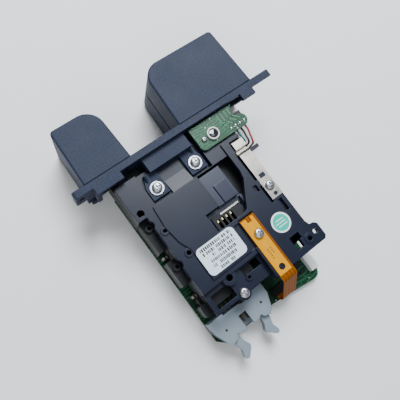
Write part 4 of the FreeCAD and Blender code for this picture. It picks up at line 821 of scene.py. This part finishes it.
class READER_OT_stage(bpy.types.Operator):
    """Builds the floor, the lights and the camera"""
    bl_idname = "reader.stage"
    bl_label = "Stage"

    AIM = (0.0, 0.03, 0.0)      # what the lights face
    FLOOR_SIZE, FLOOR_GAP = 3.0, 0.0002
    # Place and size of each light.
    KEY = (-0.30, -0.45, 0.80), 0.50
    SHEEN = (-0.24, -0.05, 0.85), 0.26
    FILL = (0.50, 0.55, 0.75), 0.9
    DAYLIGHT, BLUE = (0.93, 0.97, 1.0), (0.58, 0.76, 1.0)
    # The camera's place, and the directions of its right and of its back.
    EYE = (0.062953, 0.054588, 0.215026)
    RIGHT, BACK = (-0.784, 0.597, 0.171), (0.280, 0.094, 0.955)

    def execute(self, context):
        stage = settings()[2]
        self.floor(stage.floor)
        self.light("key_light", *self.KEY, stage.key_power, self.DAYLIGHT)
        self.light("sheen_light", *self.SHEEN, stage.sheen_power, self.BLUE)
        self.light("fill_light", *self.FILL, stage.fill_power, self.DAYLIGHT)
        self.surroundings(stage.sky)
        self.camera(stage.lens)
        return {"FINISHED"}

    def floor(self, base):
        """A plain square just under the reader."""
        bm = bmesh.new()
        place = Matrix.Translation((0, self.AIM[1], CAD_BOX[0][2] - self.FLOOR_GAP))
        bmesh.ops.create_grid(bm, x_segments=1, y_segments=1, size=self.FLOOR_SIZE, matrix=place)
        floor = add_mesh("floor", bm)
        material, _, _ = new_material("Floor", Base_Color=rgba(base), Roughness=0.9,
                                      Specular_IOR_Level=0.1)
        floor.data.materials.append(material)

    def light(self, name, place, size, power, tint):
        """A square soft light that faces the reader."""
        data = bpy.data.lights.new(name, "AREA")
        data.size = size
        data.energy = power
        data.color = tint
        aim = Vector(self.AIM) - Vector(place)
        turn = aim.to_track_quat("-Z", "Y").to_matrix().to_4x4()
        add_item(name, data).matrix_world = Matrix.Translation(place) @ turn

    def surroundings(self, strength):
        """A plain white world of even brightness."""
        world = bpy.data.worlds.new("Studio")
        world.use_nodes = True
        back = world.node_tree.nodes["Background"]
        back.inputs["Color"].default_value = rgba((1.0, 1.0, 1.0))
        back.inputs["Strength"].default_value = strength
        bpy.context.scene.world = world

    def camera(self, lens):
        """The camera, squared up so that its axes stand at right angles."""
        data = bpy.data.cameras.new("view")
        data.lens = lens
        data.sensor_width = 36.0
        data.clip_start = 0.01
        right, back = Vector(self.RIGHT).normalized(), Vector(self.BACK)
        back = (back - right * back.dot(right)).normalized()
        turn = Matrix((right, back.cross(right), back)).transposed().to_4x4()
        item = add_item("view", data)
        item.matrix_world = Matrix.Translation(self.EYE) @ turn
        bpy.context.scene.camera = item


class READER_PT_panel(bpy.types.Panel):
    """Lists the steps that finish the reader"""
    bl_label = "Card Reader"
    bl_idname = "READER_PT_panel"
    bl_space_type = "VIEW_3D"
    bl_region_type = "UI"
    bl_category = "Card Reader"

    def draw(self, context):
        for operator in OPERATORS:
            self.layout.operator(operator.bl_idname)
        for group in settings():
            for name in group.__annotations__:
                self.layout.prop(group, name)


OPERATORS = (READER_OT_plastics, READER_OT_metals, READER_OT_boards, READER_OT_screws,
             READER_OT_lamp, READER_OT_cables, READER_OT_label, READER_OT_stage)
CLASSES = (ReaderColours, ReaderSizes, StageSettings, *OPERATORS, READER_PT_panel)
SCENE_SETTINGS = {"reader_colours": ReaderColours, "reader_sizes": ReaderSizes,
                  "reader_stage": StageSettings}


def register():
    for item in CLASSES:
        bpy.utils.register_class(item)
    for name, kind in SCENE_SETTINGS.items():
        setattr(bpy.types.Scene, name, PointerProperty(type=kind))


def unregister():
    for name in SCENE_SETTINGS:
        delattr(bpy.types.Scene, name)
    for item in reversed(CLASSES):
        bpy.utils.unregister_class(item)


def main():
    register()
    for operator in OPERATORS:
        family, name = operator.bl_idname.split(".")
        getattr(getattr(bpy.ops, family), name)()


if __name__ == "__main__":
    main()
